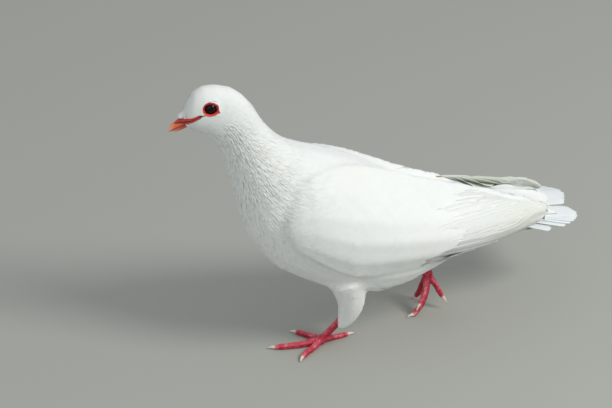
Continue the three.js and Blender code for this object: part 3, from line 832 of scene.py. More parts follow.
def tube(path, radii, sides, upward, flat=1.0):
    """Rings of points round a path, flatter than wide if asked."""
    ahead = unit(np.gradient(path, axis=0))
    sideways = unit(np.cross(upward, ahead))
    upward = np.cross(ahead, sideways)
    turn = np.linspace(0, 2 * math.pi, sides, endpoint=False)[:, None]
    ring = sideways[:, None] * np.cos(turn) + upward[:, None] * np.sin(turn) * flat
    return (path[:, None] + ring * np.asarray(radii)[:, None, None]).reshape(-1, 3)


def tube_faces(rows, sides):
    """The four-sided faces of a tube, closed round."""
    row, side = np.meshgrid(np.arange(rows - 1) * sides, np.arange(sides), indexing="ij")
    following = (side + 1) % sides
    corners = [row + side, row + following, row + sides + following, row + sides + side]
    return np.stack(corners, -1).reshape(-1, 4)


def thickened(mesh, thickness):
    """Gives open sheets their thickness, evenly on both sides."""
    holder = bpy.data.objects.new("sheet", mesh)
    bpy.context.scene.collection.objects.link(holder)
    solid = holder.modifiers.new("solid", "SOLIDIFY")
    solid.thickness = thickness
    solid.offset = 0
    finished = holder.evaluated_get(bpy.context.evaluated_depsgraph_get())
    result = bpy.data.meshes.new_from_object(finished)
    bpy.data.objects.remove(holder)
    return result


def tidied(mesh):
    """A closed mesh with its doubled points joined and its faces turned outwards."""
    shape = bmesh.new()
    shape.from_mesh(mesh)
    bmesh.ops.remove_doubles(shape, verts=shape.verts, dist=0.002 * mm)
    bmesh.ops.recalc_face_normals(shape, faces=shape.faces)
    shape.to_mesh(mesh)
    shape.free()
    return mesh


def evened(rounds, *lines):
    """Smooths rows of points along their length, keeping their ends."""
    for _ in range(rounds):
        for line in lines:
            line[1:-1] = (line[:-2] + 2 * line[1:-1] + line[2:]) / 4


shaft_sides = 6
shaft_radius = 0.5 * mm


def feather_set(name, feathers, vane_finish, shaft_finish, chance):
    """One piece of long feathers, and one of their shafts, from a list of their measures."""
    points, vane, bake, tints, spans, shafts = [], [], [], [], [], []
    for k, (path, upward, inner, outer, blunt, arch, tone_and_painted_shade) in enumerate(feathers):
        points.append(blade(path, upward, inner, outer, blunt, arch, chance))
        grid = vane_coordinates(len(path), blade_across, 1)
        vane.append(grid)
        bake.append((grid * [0.86, 0.96] + [k + 0.07, 0.02]) / [len(feathers), 1])
        tints.append(np.full(len(grid), tone_and_painted_shade))
        spans.append(np.full(len(grid), np.linalg.norm(path[-1] - path[0])))
        run = np.linspace(0, 1, len(path))
        radii = shaft_radius * (1 - 0.75 * run) * (np.minimum(run, 1 - run) > 0)
        shafts.append(tube(path + upward * 0.02 * mm, radii, shaft_sides, upward, 0.8))
    faces = sheet_faces(blade_rows, blade_across, len(feathers))
    sheets = mesh_of(name, np.concatenate(points), faces,
                     [("OFBake", np.concatenate(bake)), ("Vane", np.concatenate(vane))],
                     [("tone_and_painted_shade", np.concatenate(tints)), ("length", np.concatenate(spans))])
    piece = new_piece(name, thickened(sheets, blade_thickness), [vane_finish])
    one = tube_faces(blade_rows, shaft_sides)
    each = blade_rows * shaft_sides
    ringed = np.concatenate([one + k * each for k in range(len(feathers))])
    rods = tidied(mesh_of(name + "_shafts", np.concatenate(shafts), ringed))
    rods = new_piece(name + "_shafts", rods, [shaft_finish])
    for part in (piece, rods):
        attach(part, "root")
    return piece


# By side: the X where the folded wing ends, how far its inner blades slide up towards their tips,
# and by how many mm its rear droops or rises, with how far back that starts, its run and its power.
wing_ends = {1: -187, -1: -203}
inner_slide = {1: 0.12, -1: 0.03}
rear_rise = {1: (-1.8, 158, 24, 1.5), -1: (3.5, 165, 35, 1)}


def wing_place(side, x, share):
    """A place on a folded wing: X back along it, and a share from its upper to its lower edge."""
    upper = np.stack([6 + 9 * ((-130 - x) / 62).clip(0, 1), 123 + 0.385 * (x + 104)], -1)
    lower = np.stack([39 + 0.147 * (x + 46), 70.5 + 0.24 * (-150 - x).clip(0)], -1)
    middle = (upper + lower) / 2
    middle[..., 0] = 2 * (46.5 + 0.195 * (x + 46)) - middle[..., 0]
    share = share[..., None]
    spot = upper * (1 - share) ** 2 + 2 * middle * share * (1 - share) + lower * share ** 2
    back = np.where(x < -100, -100 + (x + 100) * (wing_ends[side] + 100) / -92, x)
    return bent(np.stack([back, side * spot[..., 0], spot[..., 1]], -1))


barb_pitch, barb_depth = 0.7 * mm, 0.02 * mm
# The left wing's flight feathers are painted lighter than the body's plumage, and lighter again at their
# roots, as painted light on the folded wing; their lower blades turn cream.
vane_cream_painted_light = feather_material(
    "flight_vane", (0.91, 0.93, 0.90), (0.895, 0.92, 0.86), (0.90, 0.905, 0.83),
    barb_pitch, barb_depth, 0.08, (0.93, 0.945, 0.935))
# Painted shade: the right wing's flight feathers are a darker grey-green copy of the left wing's, darkest
# on their upper blades, with roots painted paler.
vane_painted_shade = feather_material(
    "flight_vane_right_painted_shade", (0.86, 0.89, 0.84), (0.715, 0.76, 0.69), (0.82, 0.82, 0.73),
    barb_pitch, barb_depth, 0.05, (0.90, 0.90, 0.85))
shaft_horn, _ = new_material("shaft_horn", (0.86, 0.83, 0.74), 0.4)
blades_each_wing = 17
for side, name in ((1, "left"), (-1, "right")):
    chance = np.random.default_rng(20 + side)
    feathers = []
    for k in range(blades_each_wing):
        order = k / (blades_each_wing - 1)
        s = np.linspace(0, 1, blade_rows)
        tip_x = -191 + 50 * order ** 1.8 + chance.uniform(-1, 1)
        x = -62 + (tip_x + 62) * s
        share = (0.93 - 0.64 * order) + (-0.07 - inner_slide[side] * order) * s ** 1.2
        places, out = onto(wing_place(side, x, share))
        evened(8, places, out)
        out = unit(out)
        rise, start, run, power = rear_rise[side]
        places[:, 2] += rise * mm * ((-straight(places)[:, 0] - start) / run).clip(0, 1) ** power
        covered = ((x + 118) / 34).clip(0, 1)
        sunk = (0.1 + 1.5 * (1 - order) * (1 - 0.6 * s) + 2.4 * covered)[:, None] * mm
        width = (11 + 5 * order) * mm
        # On the left wing the lower blades take the cream colour; on the right wing the upper blades take
        # the painted shade.
        tone_and_painted_shade = max(0, 1 - 1.25 * order) if side > 0 else min(1, 0.15 + 1.3 * order)
        room = (share * (14 + 22 * ((x + 190) / 70).clip(0, 1)) + 2.5)[:, None] * mm
        inner = np.minimum(1.05 * width, room)
        feathers.append((places - out * sunk, out, inner, 0.34 * width, 0.80, 0.25 * mm, tone_and_painted_shade))
    if side < 0:
        feathers = [(path, up, outer, inner, *rest) for path, up, inner, outer, *rest in feathers]
    finish = vane_cream_painted_light if side > 0 else vane_painted_shade
    flights = feather_set("flight_feathers_" + name, feathers, finish, shaft_horn, chance)
    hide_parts("flight_" + name)


# ---- Tail feathers --------------------------------------------------------------------------
# Twelve broad feathers make the half-closed tail. The middle pair lies on top, and each pair
# further out lies under the last, so the tail is arched. It is spread a little to the right.

tail_tips = [(-185, 22), (-201, 17), (-208, 13.5), (-213, 10.5), (-216, 8), (-217, 5),
             (-215, -13), (-218, -18), (-221, -23), (-221, -28), (-217, -32), (-208, -34)]
tail_root = -122
vane_white = feather_material(
    "tail_vane", (0.86, 0.895, 0.905), (0.81, 0.85, 0.88), (0.87, 0.87, 0.84), barb_pitch, barb_depth, 0.05)
chance = np.random.default_rng(31)
feathers = []
for k, (tip_x, tip_y) in enumerate(tail_tips):
    s = np.linspace(0, 1, blade_rows)
    from_middle = k - 5.5
    x = tail_root + (tip_x - tail_root) * s
    y = -1.5 * from_middle * (1 - s) + tip_y * s ** 1.15
    middle, half_tail = -7 * ((-122 - x) / 100).clip(0), 14 + 8 * ((-122 - x) / 60).clip(0, 1)
    depth = 5 - 4.2 * ((-135 - x) / 86).clip(0, 1)
    arch = -3 * ((y - middle) / half_tail) ** 2
    z = 85 + 0.228 * (x + 135) + arch - 0.1 * y + 0.12 * (-y).clip(0) + depth + 1 - 0.32 * abs(from_middle)
    path = bent(np.stack([x, y, z], -1))
    lean = turned(np.array([0.228, 0.1 + 0.02 * from_middle, 1.0]) * np.ones((blade_rows, 1)), x)
    wide = max(0, 1 - abs(from_middle) / 4)
    inner, outer = (7.6 + 1.6 * wide) * mm, (6.4 + 2.2 * wide) * mm
    halves = (inner, outer) if from_middle < 0 else (outer, inner)
    feathers.append((path, unit(lean), *halves, 0.90, 0.4 * mm, chance.uniform(0, 0.6)))
tail = feather_set("tail_feathers", feathers, vane_white, shaft_horn, chance)
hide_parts("tail")


# ---- Bill ------------------------------------------------------------------------------------
# A pigeon's bill is a thin horny sheath on bone: soft and coral red at the base, hard and pale
# at the hooked tip. The upper half closes over the lower one along the line of the gape.

bill_base = np.array([95, 0, 207.6])
bill_tip = np.array([115.6, 0, 197.6])
bill_axis = unit(bill_tip - bill_base)
bill_up = np.array([-bill_axis[2], 0, bill_axis[0]])
bill_length = 24.0
bill_rows = 46
bill_sides = 32


def bill_place(along, side, height):
    """A place on the straight bird, by its mm along the bill from its base, beside and above its axis."""
    along, side, height = np.broadcast_arrays(along, side, height)
    return (bill_base + along[..., None] * bill_axis + height[..., None] * bill_up
            + side[..., None] * np.array([0, 1, 0]))


def eased(share, heights):
    """A smooth curve through heights that are evenly spaced from share 0 to 1."""
    knots = np.linspace(0, 1, len(heights))
    return np.polyval(np.polyfit(knots, heights, len(heights) - 1), share.clip(0, 1))


def closed_loft(name, rings, **values):
    """A closed form through rings of points, each end drawn in to a point. Values go by ring and side."""
    ends = [np.repeat(ring.mean(0, keepdims=True), len(ring), 0)[None] for ring in (rings[0], rings[-1])]
    numbers = []
    for title, grid in values.items():
        grid = np.broadcast_to(grid, rings.shape[:2])
        numbers.append((title, np.concatenate([grid[:1], grid, grid[-1:]]).ravel()))
    rings = np.concatenate([ends[0], rings, ends[1]])
    return tidied(mesh_of(name, rings.reshape(-1, 3), tube_faces(*rings.shape[:2]), [], numbers))


def half_bill(name, outer, meeting, width_share, reach):
    """One half of the bill, from inside the head to its tip."""
    share = 1 - 1.25 * np.linspace(1, 0, bill_rows) ** 1.35
    inside = share.clip(0, 1)
    blunt = np.sqrt(1 - (inside ** 10))
    half = 3.9 * (1 - inside ** 2.2) ** 0.8 * (1 - 0.25 * inside) + 0.75 * blunt
    half = half.clip(0.06) * width_share
    low, high = eased(share, meeting), eased(share, outer)
    high = low + (high - low) * np.maximum(blunt, 0.15)
    turn = np.linspace(0, 2 * math.pi, bill_sides, endpoint=False)
    over = np.sin(turn).clip(0) ** 0.85
    under = -0.28 * np.sin(turn).clip(-1, 0) * np.abs(np.sin(turn)).clip(0, 1)
    height = low[:, None] + (high - low)[:, None] * (over + under * 0.5)
    side = half[:, None] * np.cos(turn)
    place = bent(bill_place(share[:, None] * bill_length * reach, side, height))
    return closed_loft(name, place, along=share[:, None].clip(0), ridge=np.sin(turn).clip(0))


def ramp_of(material, factor, stops):
    """A run of colours by a factor: each stop is its position and colour."""
    node = add_node(material, "ShaderNodeValToRGB", {"Fac": factor})
    while len(node.color_ramp.elements) < len(stops):
        node.color_ramp.elements.new(0.5)
    for element, (position, colour) in zip(node.color_ramp.elements, stops):
        element.position = position
        element.color = (*colour, 1)
    return node.outputs["Color"]


fold_along, fold_height, fold_climb = 0.46, 0.43, 1.95
# The orange lies below the fold; the dark red is its painted shadow line.
fold_orange, fold_painted_shadow = (0.84, 0.20, 0.07), (0.09, 0.006, 0.006)


def bill_finish(name, stops, patch_colour, patch_share, fold):
    """Horn from soft red skin to a pale hard tip, flaking, with painted shade on its underside, and if
    asked an orange band below a fold at the base, edged by a painted shadow line.
    """
    material, shader = new_material(name, stops[0][1], 0.4)
    place = object_place(material)
    along, ridge = value_of(material, "along"), value_of(material, "ridge")
    cloud = noise(material, place, 420, 4)
    wander = calculated(material, "MULTIPLY_ADD", cloud, 0.22, along)
    colour = ramp_of(material, calculated(material, "SUBTRACT", wander, 0.11), stops)
    middle = calculated(material, "ABSOLUTE", calculated(material, "SUBTRACT", along, 0.36))
    patch_there = spread(material, middle, 0.02, 0.2, 1.0, 0.0)
    high = spread(material, ridge, 0.35, 0.75, 0.0, patch_share)
    colour = mixed(material, calculated(material, "MULTIPLY", patch_there, high), colour, patch_colour)
    # Painted shade: the underside of each half is darkened to a deep red.
    edge = spread(material, ridge, 0.0, 0.28, 0.8, 0.0)
    colour = mixed(material, edge, colour, (0.30, 0.015, 0.012))
    if fold:
        fold_from = fold_climb * fold_along - fold_height
        over = calculated(material, "MULTIPLY_ADD", along, -fold_climb, fold_from)
        over = calculated(material, "ADD", over, ridge)
        below = spread(material, over, -0.06, 0.0, 0.85, 0.0)
        for reach in (spread(material, along, 0.34, 0.46), spread(material, along, 0.62, 0.82, 1.0, 0.0)):
            below = calculated(material, "MULTIPLY", below, reach)
        colour = mixed(material, below, colour, fold_orange)
        # Painted shadow: a dark line is painted along the fold.
        line = spread(material, calculated(material, "ABSOLUTE", over), 0.07, 0.17, 0.95, 0.0)
        for reach in (spread(material, along, 0.36, 0.42), spread(material, along, 0.64, 0.72, 1.0, 0.0)):
            line = calculated(material, "MULTIPLY", line, reach)
        colour = mixed(material, line, colour, fold_painted_shadow)
    flakes = noise(material, place, 1500, 2)
    colour = mixed(material, spread(material, flakes, 0.6, 0.8, 0.0, 0.12), colour, (0.86, 0.58, 0.48))
    link(material, colour, shader.inputs["Base Color"])
    link(material, spread(material, cloud, 0.3, 0.7, 0.30, 0.55), shader.inputs["Roughness"])
    shader.inputs["Coat Weight"].default_value = 0.12
    shader.inputs["Coat Roughness"].default_value = 0.25
    shader.inputs["Specular IOR Level"].default_value = 0.35
    under = raised(material, shader, cloud, 0.12 * mm)
    raised(material, shader, flakes, 0.05 * mm, under=under)
    return material


upper_red = bill_finish("bill_upper_horn", [
    (0.0, (0.44, 0.008, 0.010)), (0.48, (0.52, 0.013, 0.012)), (0.60, (0.66, 0.040, 0.020)),
    (0.72, (0.86, 0.20, 0.085)), (0.88, (0.87, 0.38, 0.24)), (1.0, (0.87, 0.60, 0.50))],
    (0.50, 0.15, 0.06), 0.75, True)
lower_red = bill_finish("bill_lower_horn", [
    (0.0, (0.50, 0.016, 0.014)), (0.30, (0.62, 0.035, 0.025)), (0.55, (0.74, 0.090, 0.050)),
    (0.75, (0.84, 0.24, 0.15)), (0.90, (0.87, 0.46, 0.37)), (1.0, (0.87, 0.64, 0.57))],
    (0.70, 0.20, 0.09), 0.2, False)
upper_heights = [4.0, 4.5, 4.5, 3.8, 3.0, 1.0]
upper_meeting = [0.1, -0.1, -0.3, -0.5, -0.7, -1.7]
lower_heights = [-3.4, -4.1, -4.7, -4.8, -4.3, -2.9]
lower_meeting = [-0.05, -0.25, -0.45, -0.65, -0.85, -1.3]
for name, material, shape in (("upper_bill", upper_red, (upper_heights, upper_meeting, 1.0, 1.0)),
                              ("lower_bill", lower_red, (lower_heights, lower_meeting, 0.95, 0.94))):
    piece = new_piece(name, half_bill(name, *shape), [material])
    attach(piece, "root")
    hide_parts("bill_" + name.split("_")[0])


# ---- Cere ------------------------------------------------------------------------------------
# Two soft lobes of bare skin, powdered white, swell over the nostrils at the bill's base. A slit under the
# rear of each one is the nostril itself, and a small pit lies above and behind it; both are dented in and
# coloured dark as painted shade.

cere_radii = np.array([5.0, 2.2, 1.75])
cere_middle = np.array([103.9, 0, 208.9])
cere_ahead = unit(np.array([0.955, 0, -0.297]))
cere_over = np.array([-cere_ahead[2], 0, cere_ahead[0]])
# Each lobe: its side, its share of the radii, and mm back, aside and up.
front_lobe, rear_lobe = ((1, 1, 1), 0, 0, 0), ((0.66, 0.72, 0.90), 2.5, 2.3, 0.5)
bridge = (0, (0.5, 1.55, 0.9), 0.9, 0, 1.0)
lobes = []
for side, shares, back, aside, up in (
        (1, *front_lobe), (-1, *front_lobe), bridge, (1, *rear_lobe), (-1, *rear_lobe)):
    ball = bmesh.new()
    bmesh.ops.create_icosphere(ball, subdivisions=5, radius=1)
    points = np.array([v.co for v in ball.verts]) * cere_radii * shares
    front = 1 - 0.35 * (points[:, 0] / cere_radii[0]).clip(0) ** 2
    points[:, 1:] *= front[:, None]
    splay = side * np.where(points[:, 0] < 0, 0.34, 0.16) * points[:, 0]
    points[:, 2] += 0.055 * points[:, 0].clip(max=0) ** 2
    along = cere_middle + points[:, :1] * cere_ahead + points[:, 2:] * cere_over
    along[:, 1] = (1.85 + aside) * side + points[:, 1] - splay
    place = bent(along - back * cere_ahead + up * cere_over)
    ball.verts.index_update()
    lobes.append(([Vector(spot) for spot in place], [[v.index for v in face.verts] for face in ball.faces]))
    ball.free()
cere_mesh = fused([], 0.28 * mm, 5, also=lobes)
points = read_points(cere_mesh)
spots = straight(points) - cere_middle
along, beside, height = spots @ cere_ahead, np.abs(spots[:, 1]), spots @ cere_over
slit = np.exp(-((height + 0.55 + 0.12 * along) / 0.30) ** 2 - ((along + 0.2) / 2.1) ** 4) * (beside > 2.4)
pit = np.exp(-(((along + 3.4) / 0.75) ** 2 + ((height - 1.15) / 0.42) ** 2)) * (beside > 3.2)
slit = np.maximum(slit, pit)
puckers = 0.10 * np.sin(along * 5.2 + 1.1 * np.sin(beside * 2)) * np.exp(-((along + 3) / 2.4) ** 2)
write_points(cere_mesh, points - outward(cere_mesh) * ((0.75 * slit + puckers)[:, None] * mm))
give_values(cere_mesh, [("slit", slit)])

powder, powder_shader = new_material("cere_powder", (0.80, 0.74, 0.76), 0.85)
place = object_place(powder)
grains = noise(powder, place, 2600, 3)
bloom = noise(powder, place, 380, 3)
skin_pink = mixed(powder, spread(powder, bloom, 0.42, 0.68), (0.87, 0.87, 0.87), (0.78, 0.64, 0.65))
# Painted shade: the slit and the pit are coloured a dark red-brown.
painted_slit_shade = spread(powder, value_of(powder, "slit"), 0.1, 0.75, 0.0, 0.95)
link(powder, mixed(powder, painted_slit_shade, skin_pink, (0.10, 0.03, 0.03)), powder_shader.inputs["Base Color"])
powder_shader.inputs["Sheen Weight"].default_value = 0.25
under = raised(powder, powder_shader, bloom, 0.25 * mm)
raised(powder, powder_shader, grains, 0.06 * mm, under=under)
cere = new_piece("cere_lobes", cere_mesh, [powder])
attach(cere, "root")
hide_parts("cere")


# ---- Gape and lores --------------------------------------------------------------------------
# The corner of the mouth is two rolled lips of red skin that run back below the cere, and thin
# out into a bare crease that reaches the ring of the eye.

gape_rows = 60
gape_across = 21


def gape_strip(side):
    """The lips and crease of one side: a shallow closed pad along the line of the gape."""
    share = np.linspace(0, 1, gape_rows)
    knots = np.linspace(0, 1, len(gape_line))
    line = np.stack([np.polyval(np.polyfit(knots, gape_line[:, axis], 6), share) for axis in range(3)], 1)
    line[:, 1] *= side
    half = np.interp(share, knots, gape_half) * mm
    front, rear = (share / 0.06).clip(0.003, 1), ((1 - share) / 0.05).clip(0, 1)
    half *= np.sqrt(front) * np.sqrt(rear).clip(0.05)
    places, out = onto(bent(line))
    out = unit(out + np.array([0, side * 0.3, 0.05]))
    ahead = unit(np.gradient(places, axis=0))
    sideways = unit(np.cross(out, ahead))
    t = np.linspace(-1, 1, gape_across)
    lips = 0.85 * np.exp(-((np.abs(t) - 0.42) / 0.24) ** 2)
    crumple = 0.12 * np.sin(share * 70)[:, None] * np.cos(t * 5) * (1 - np.abs(t))
    slimming = np.interp(share, [0, 0.15, 0.6, 0.8, 1], [0.4, 1, 0.9, 0.3, 0.25])
    lift = (lips + crumple) * slimming[:, None] - 0.75 * np.abs(t) ** 6
    top = (places[:, None] + sideways[:, None] * (t * half[:, None])[..., None]
           + out[:, None] * (lift * mm)[..., None])
    back = t[::-1][1:-1]
    low = (places[:, None] + sideways[:, None] * (back * 0.9 * half[:, None])[..., None]
           - out[:, None] * (1.3 * mm))
    groove = np.concatenate([np.exp(-(t / 0.17) ** 2), 0 * back])
    return closed_loft("gape", np.concatenate([top, low], 1), groove=groove, along=share[:, None])


lip_red, lip_shader = new_material("lip_red", (0.60, 0.025, 0.02), 0.4)
place = object_place(lip_red)
veins = noise(lip_red, place, 700, 4)
flesh_red = mixed(lip_red, spread(lip_red, veins, 0.3, 0.7), (0.42, 0.010, 0.012), (0.76, 0.055, 0.035))
rearmost = spread(lip_red, value_of(lip_red, "along"), 0.60, 0.82)
flesh_red = mixed(lip_red, rearmost, flesh_red, (0.16, 0.010, 0.010))
# Painted shade: the groove between the two lips is coloured nearly black.
painted_groove_shade = spread(lip_red, value_of(lip_red, "groove"), 0.2, 0.9, 0.0, 0.9)
link(lip_red, mixed(lip_red, painted_groove_shade, flesh_red, (0.025, 0.002, 0.002)), lip_shader.inputs["Base Color"])
lip_shader.inputs["Coat Weight"].default_value = 0.3
lip_shader.inputs["Coat Roughness"].default_value = 0.2
raised(lip_red, lip_shader, veins, 0.2 * mm)
for side, name in ((1, "left"), (-1, "right")):
    piece = new_piece("gape_" + name, gape_strip(side), [lip_red])
    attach(piece, "root")


# ---- Eyes and lids ---------------------------------------------------------------------------
# Each eye is a moist dark ball behind a clear cornea, brown-black right out to its edge. A bare
# red ring of fleshy skin surrounds it, with a thin rolled lid at the opening.

ball_radius = 5.1 * mm
lid_turns = 112
# A lid's section: the share of the way from the opening to the ring's edge, and mm above it. The
# outer columns are tucked in under the feathers, each by its own mm.
lid_profile = np.array([
    (0.05, -1.5), (0.0, -0.15), (0.0, 0.28), (0.05, 0.50), (0.12, 0.60), (0.19, 0.52), (0.26, 0.24),
    (0.32, 0.16), (0.40, 0.34), (0.50, 0.50), (0.60, 0.56), (0.70, 0.52), (0.80, 0.38), (0.89, 0.18),
    (0.97, -0.06), (1.03, -0.24), (1.12, -0.26), (1.28, -0.32), (1.55, -0.60), (1.90, -0.9), (1.90, -1.6),
    (0.5, -2.3)])
lid_tucks = ((16, 0.18), (17, 0.22), (18, 0.36), (19, 0.60), (20, 1.90))
red_ring, ring_shader = new_material("eye_ring_red", (0.55, 0.02, 0.03), 0.42)
place = object_place(red_ring)
beads = add_node(red_ring, "ShaderNodeTexVoronoi", {"Vector": place, "Scale": 1500}).outputs["Distance"]
blood = noise(red_ring, place, 520, 4)
crimson = mixed(red_ring, spread(red_ring, blood, 0.32, 0.68), (0.44, 0.008, 0.016), (0.70, 0.030, 0.040))
# Painted light: the ring's lower half is painted a brighter orange-red.
lower = spread(red_ring, value_of(red_ring, "low"), -0.1, 0.9, 0.0, 0.85)
ring_reach = value_of(red_ring, "reach")
ring_colour = mixed(red_ring, lower, crimson, (0.84, 0.085, 0.035))
for run, further in (((0.0, 0.16, 0.9, 0.0), (0.10, 0.006, 0.008)),
                     ((0.80, 1.0, 0.0, 0.75), (0.24, 0.008, 0.010)),
                     ((1.03, 1.10), (0.82, 0.84, 0.82))):
    ring_colour = mixed(red_ring, spread(red_ring, ring_reach, *run), ring_colour, further)
link(red_ring, ring_colour, ring_shader.inputs["Base Color"])
ring_shader.inputs["Coat Weight"].default_value = 0.2
ring_shader.inputs["Coat Roughness"].default_value = 0.3
under = raised(red_ring, ring_shader, beads, 0.10 * mm)
raised(red_ring, ring_shader, blood, 0.15 * mm, under=under)

eye_dark, eye_shader = new_material("eye_brown_black", (0.010, 0.006, 0.005), 0.12)
angle = value_of(eye_dark, "angle")
streaks = noise(eye_dark, add_node(eye_dark, "ShaderNodeUVMap", uv_map="Iris").outputs["UV"], 6, 4)
iris = mixed(eye_dark, spread(eye_dark, streaks, 0.3, 0.7), (0.004, 0.002, 0.002), (0.016, 0.006, 0.004))
iris = mixed(eye_dark, spread(eye_dark, angle, 0.36, 0.42, 1.0, 0.0), iris, (0.002, 0.002, 0.002))
link(eye_dark, mixed(eye_dark, spread(eye_dark, angle, 0.72, 0.84), iris, (0.006, 0.003, 0.003)),
     eye_shader.inputs["Base Color"])
eye_shader.inputs["Coat Weight"].default_value = 0.4
eye_shader.inputs["Coat Roughness"].default_value = 0.02
eye_shader.inputs["Coat IOR"].default_value = 1.38
eye_shader.inputs["Specular IOR Level"].default_value = 0.05


def bump_at(turn, degrees, width):
    """A bulge of the ring's outline at one place round it."""
    gap = (turn - math.radians(degrees) + math.pi) % (2 * math.pi) - math.pi
    return np.exp(-(gap / width) ** 2)


for side, name, middle in ((1, "left", np.array(eyes[0])), (-1, "right", np.array(eyes[1]))):
    gaze = gaze_of(side)
    ahead = unit(np.array([1.0, 0, 0]) - gaze * gaze[0])
    upward = side * np.cross(ahead, gaze)
    angle = np.linspace(0, math.pi, 45)[:, None]
    turn = np.linspace(0, 2 * math.pi, 64, endpoint=False)
    bulge = ball_radius * (1 + 0.045 * np.exp(-(angle / 0.62) ** 4))
    rings = (middle + bulge[..., None] * (gaze * np.cos(angle)[..., None] + np.sin(angle)[..., None]
             * (ahead * np.cos(turn)[:, None] + upward * np.sin(turn)[:, None])))
    around = np.stack(np.broadcast_arrays(4 * np.cos(turn), 4 * np.sin(turn), angle), -1)
    flat = around[..., :2] + 0.6 * around[..., 2:]
    ball = mesh_of("ball", rings.reshape(-1, 3), tube_faces(*rings.shape[:2]),
                   [("Iris", flat.reshape(-1, 2))], [("angle", around[..., 2].ravel())])
    piece = new_piece("eyeball_" + name, tidied(ball), [eye_dark])
    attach(piece, "root")
    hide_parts("eye_" + name)

    turn = np.linspace(0, 2 * math.pi, lid_turns, endpoint=False)[:, None]
    rear, front = bump_at(turn, 203, 0.16), bump_at(turn, -46, 0.20)
    wobble = 0.10 * np.sin(5 * turn + 1) + 0.07 * np.sin(9 * turn + 2 * side)
    opening = 4.2 + 0.26 * np.cos(2 * turn) + 0.25 * rear + 0.15 * front
    edge = 5.85 + 0.36 * np.cos(2 * turn) + wobble + 1.3 * rear + 0.4 * front
    share, lift = lid_profile[:, 0], lid_profile[:, 1]
    radius = (opening + (edge - opening) * share) * mm
    way = ahead * np.cos(turn) + upward * np.sin(turn)
    ball_level = np.sqrt((ball_radius ** 2 - (opening * mm) ** 2).clip(0))
    start = middle + gaze * 14 * mm + way * (edge + 0.2) * mm
    coat_level = np.array([(Vector(coat_tree.ray_cast(spot, -gaze, 30 * mm)[0] or spot - gaze * 11 * mm)
                            - Vector(middle)) @ Vector(gaze) for spot in start])[:, None]
    for _ in range(6):
        coat_level = (np.roll(coat_level, 1, 0) + coat_level * 2 + np.roll(coat_level, -1, 0)) / 4
    blend = share.clip(0, 1) ** 0.8
    level = ball_level * (1 - blend) + coat_level * blend
    pleats = 0.09 * np.sin(38 * turn + 2 * np.sin(3 * turn)) * np.exp(-((share - 0.6) / 0.22) ** 2)
    folds = 0.10 * np.sin(turn * 7 + 2) * np.exp(-((share - 0.4) / 0.2) ** 2)
    level = level + (lift + pleats + folds) * mm
    lid = middle - upward * 0.3 * mm + gaze * level[..., None] + way[:, None] * radius[..., None]
    for column, depth in lid_tucks:
        spot, spot_out = onto(lid[:, column])
        lid[:, column] = spot - spot_out * depth * mm
    row, side_of = np.meshgrid(np.arange(lid_turns), np.arange(len(share)), indexing="ij")
    after_row, after_side = (row + 1) % lid_turns, (side_of + 1) % len(share)
    count = len(share)
    faces = np.stack([row * count + side_of, row * count + after_side, after_row * count + after_side,
                      after_row * count + side_of], -1).reshape(-1, 4)
    reach, low = np.broadcast_arrays(share, -np.sin(turn))
    ring = mesh_of("ring", lid.reshape(-1, 3), faces, [], [("reach", reach.ravel()), ("low", low.ravel())])
    piece = new_piece("lid_ring_" + name, tidied(ring), [red_ring])
    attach(piece, "root")
    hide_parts("eye_ring_" + name)


# ---- Worn shafts -----------------------------------------------------------------------------
# Here and there a covert is parted and the brown shaft of the feather below it shows, a flat
# tapered rod of horn. Each is a closed loft laid along the coat.

worn_rings, worn_sides = 16, 10
worn_places = [((-58.5, 0, 134.6), (-72, 0, 127.6), 0.40), ((-97, -5, 122.5), (-105.5, -5, 119.5), 0.60),
               ((-156, 2, 97), (-168, 3, 92.5), 0.45), ((-116.5, 22, 85.6), (-122.5, 22, 84), 0.45)]
worn_horn, worn_shader = new_material("worn_shaft_horn", (0.42, 0.30, 0.14), 0.5)
grain = noise(worn_horn, object_place(worn_horn), 900, 3)
brown = mixed(worn_horn, spread(worn_horn, grain, 0.35, 0.65), (0.26, 0.15, 0.05), (0.50, 0.36, 0.17))
ends = spread(worn_horn, value_of(worn_horn, "run"), 0.45, 1.0)
link(worn_horn, mixed(worn_horn, ends, brown, (0.80, 0.75, 0.58)), worn_shader.inputs["Base Color"])
raised(worn_horn, worn_shader, grain, 0.05 * mm)
for k, (start, stop, thick) in enumerate(worn_places):
    run = np.linspace(0, 1, worn_rings)
    path, out = onto(bent(np.array(start) + run[:, None] * (np.array(stop) - np.array(start))))
    evened(4, path, out)
    out = unit(out)
    radii = thick * mm * np.sin(math.pi * (0.08 + 0.88 * run)) ** 0.6
    rings = tube(path + out * 0.4 * mm, radii, worn_sides, out, 0.6).reshape(worn_rings, worn_sides, 3)
    rod = closed_loft("worn_shaft", rings, run=run[:, None])
    piece = new_piece(f"worn_shaft_{k + 1}", rod, [worn_horn])
    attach(piece, "root")


# ---- Feet ------------------------------------------------------------------------------------
# The bare feet are raspberry red. Broad plates overlap down the front of each shank and the top
# of each toe, small scales cover their sides, and each toe ends in a curved pale claw.

digits = ("inner", "middle", "outer", "hind")
toe_plate = 1.75 * mm
shank_plate = 2.3 * mm
foot_voxel = 0.40 * mm
just_above_floor = 0.02 * mm
claw_rings = claw_sides = 14


def corners_of(name):
    """The corners of a frame node, one to a row."""
    return np.array([list(point) for point in merged_copy(name, 0)[0]])


def centre_line(name, start):
    """A limb's middle line, from the end nearer to start: a row of places 0.5 mm apart, about."""
    points = corners_of(name)
    middle = points.mean(0)
    way = np.linalg.svd(points - middle)[2][0]
    way = way * (1 if (middle - start) @ way > 0 else -1)
    run = (points - middle) @ way
    curve = [np.polyfit(run, points[:, axis], 3) for axis in range(3)]
    rows = np.linspace(run.min(), run.max(), 60)
    return np.stack([np.polyval(part, rows) for part in curve], 1)


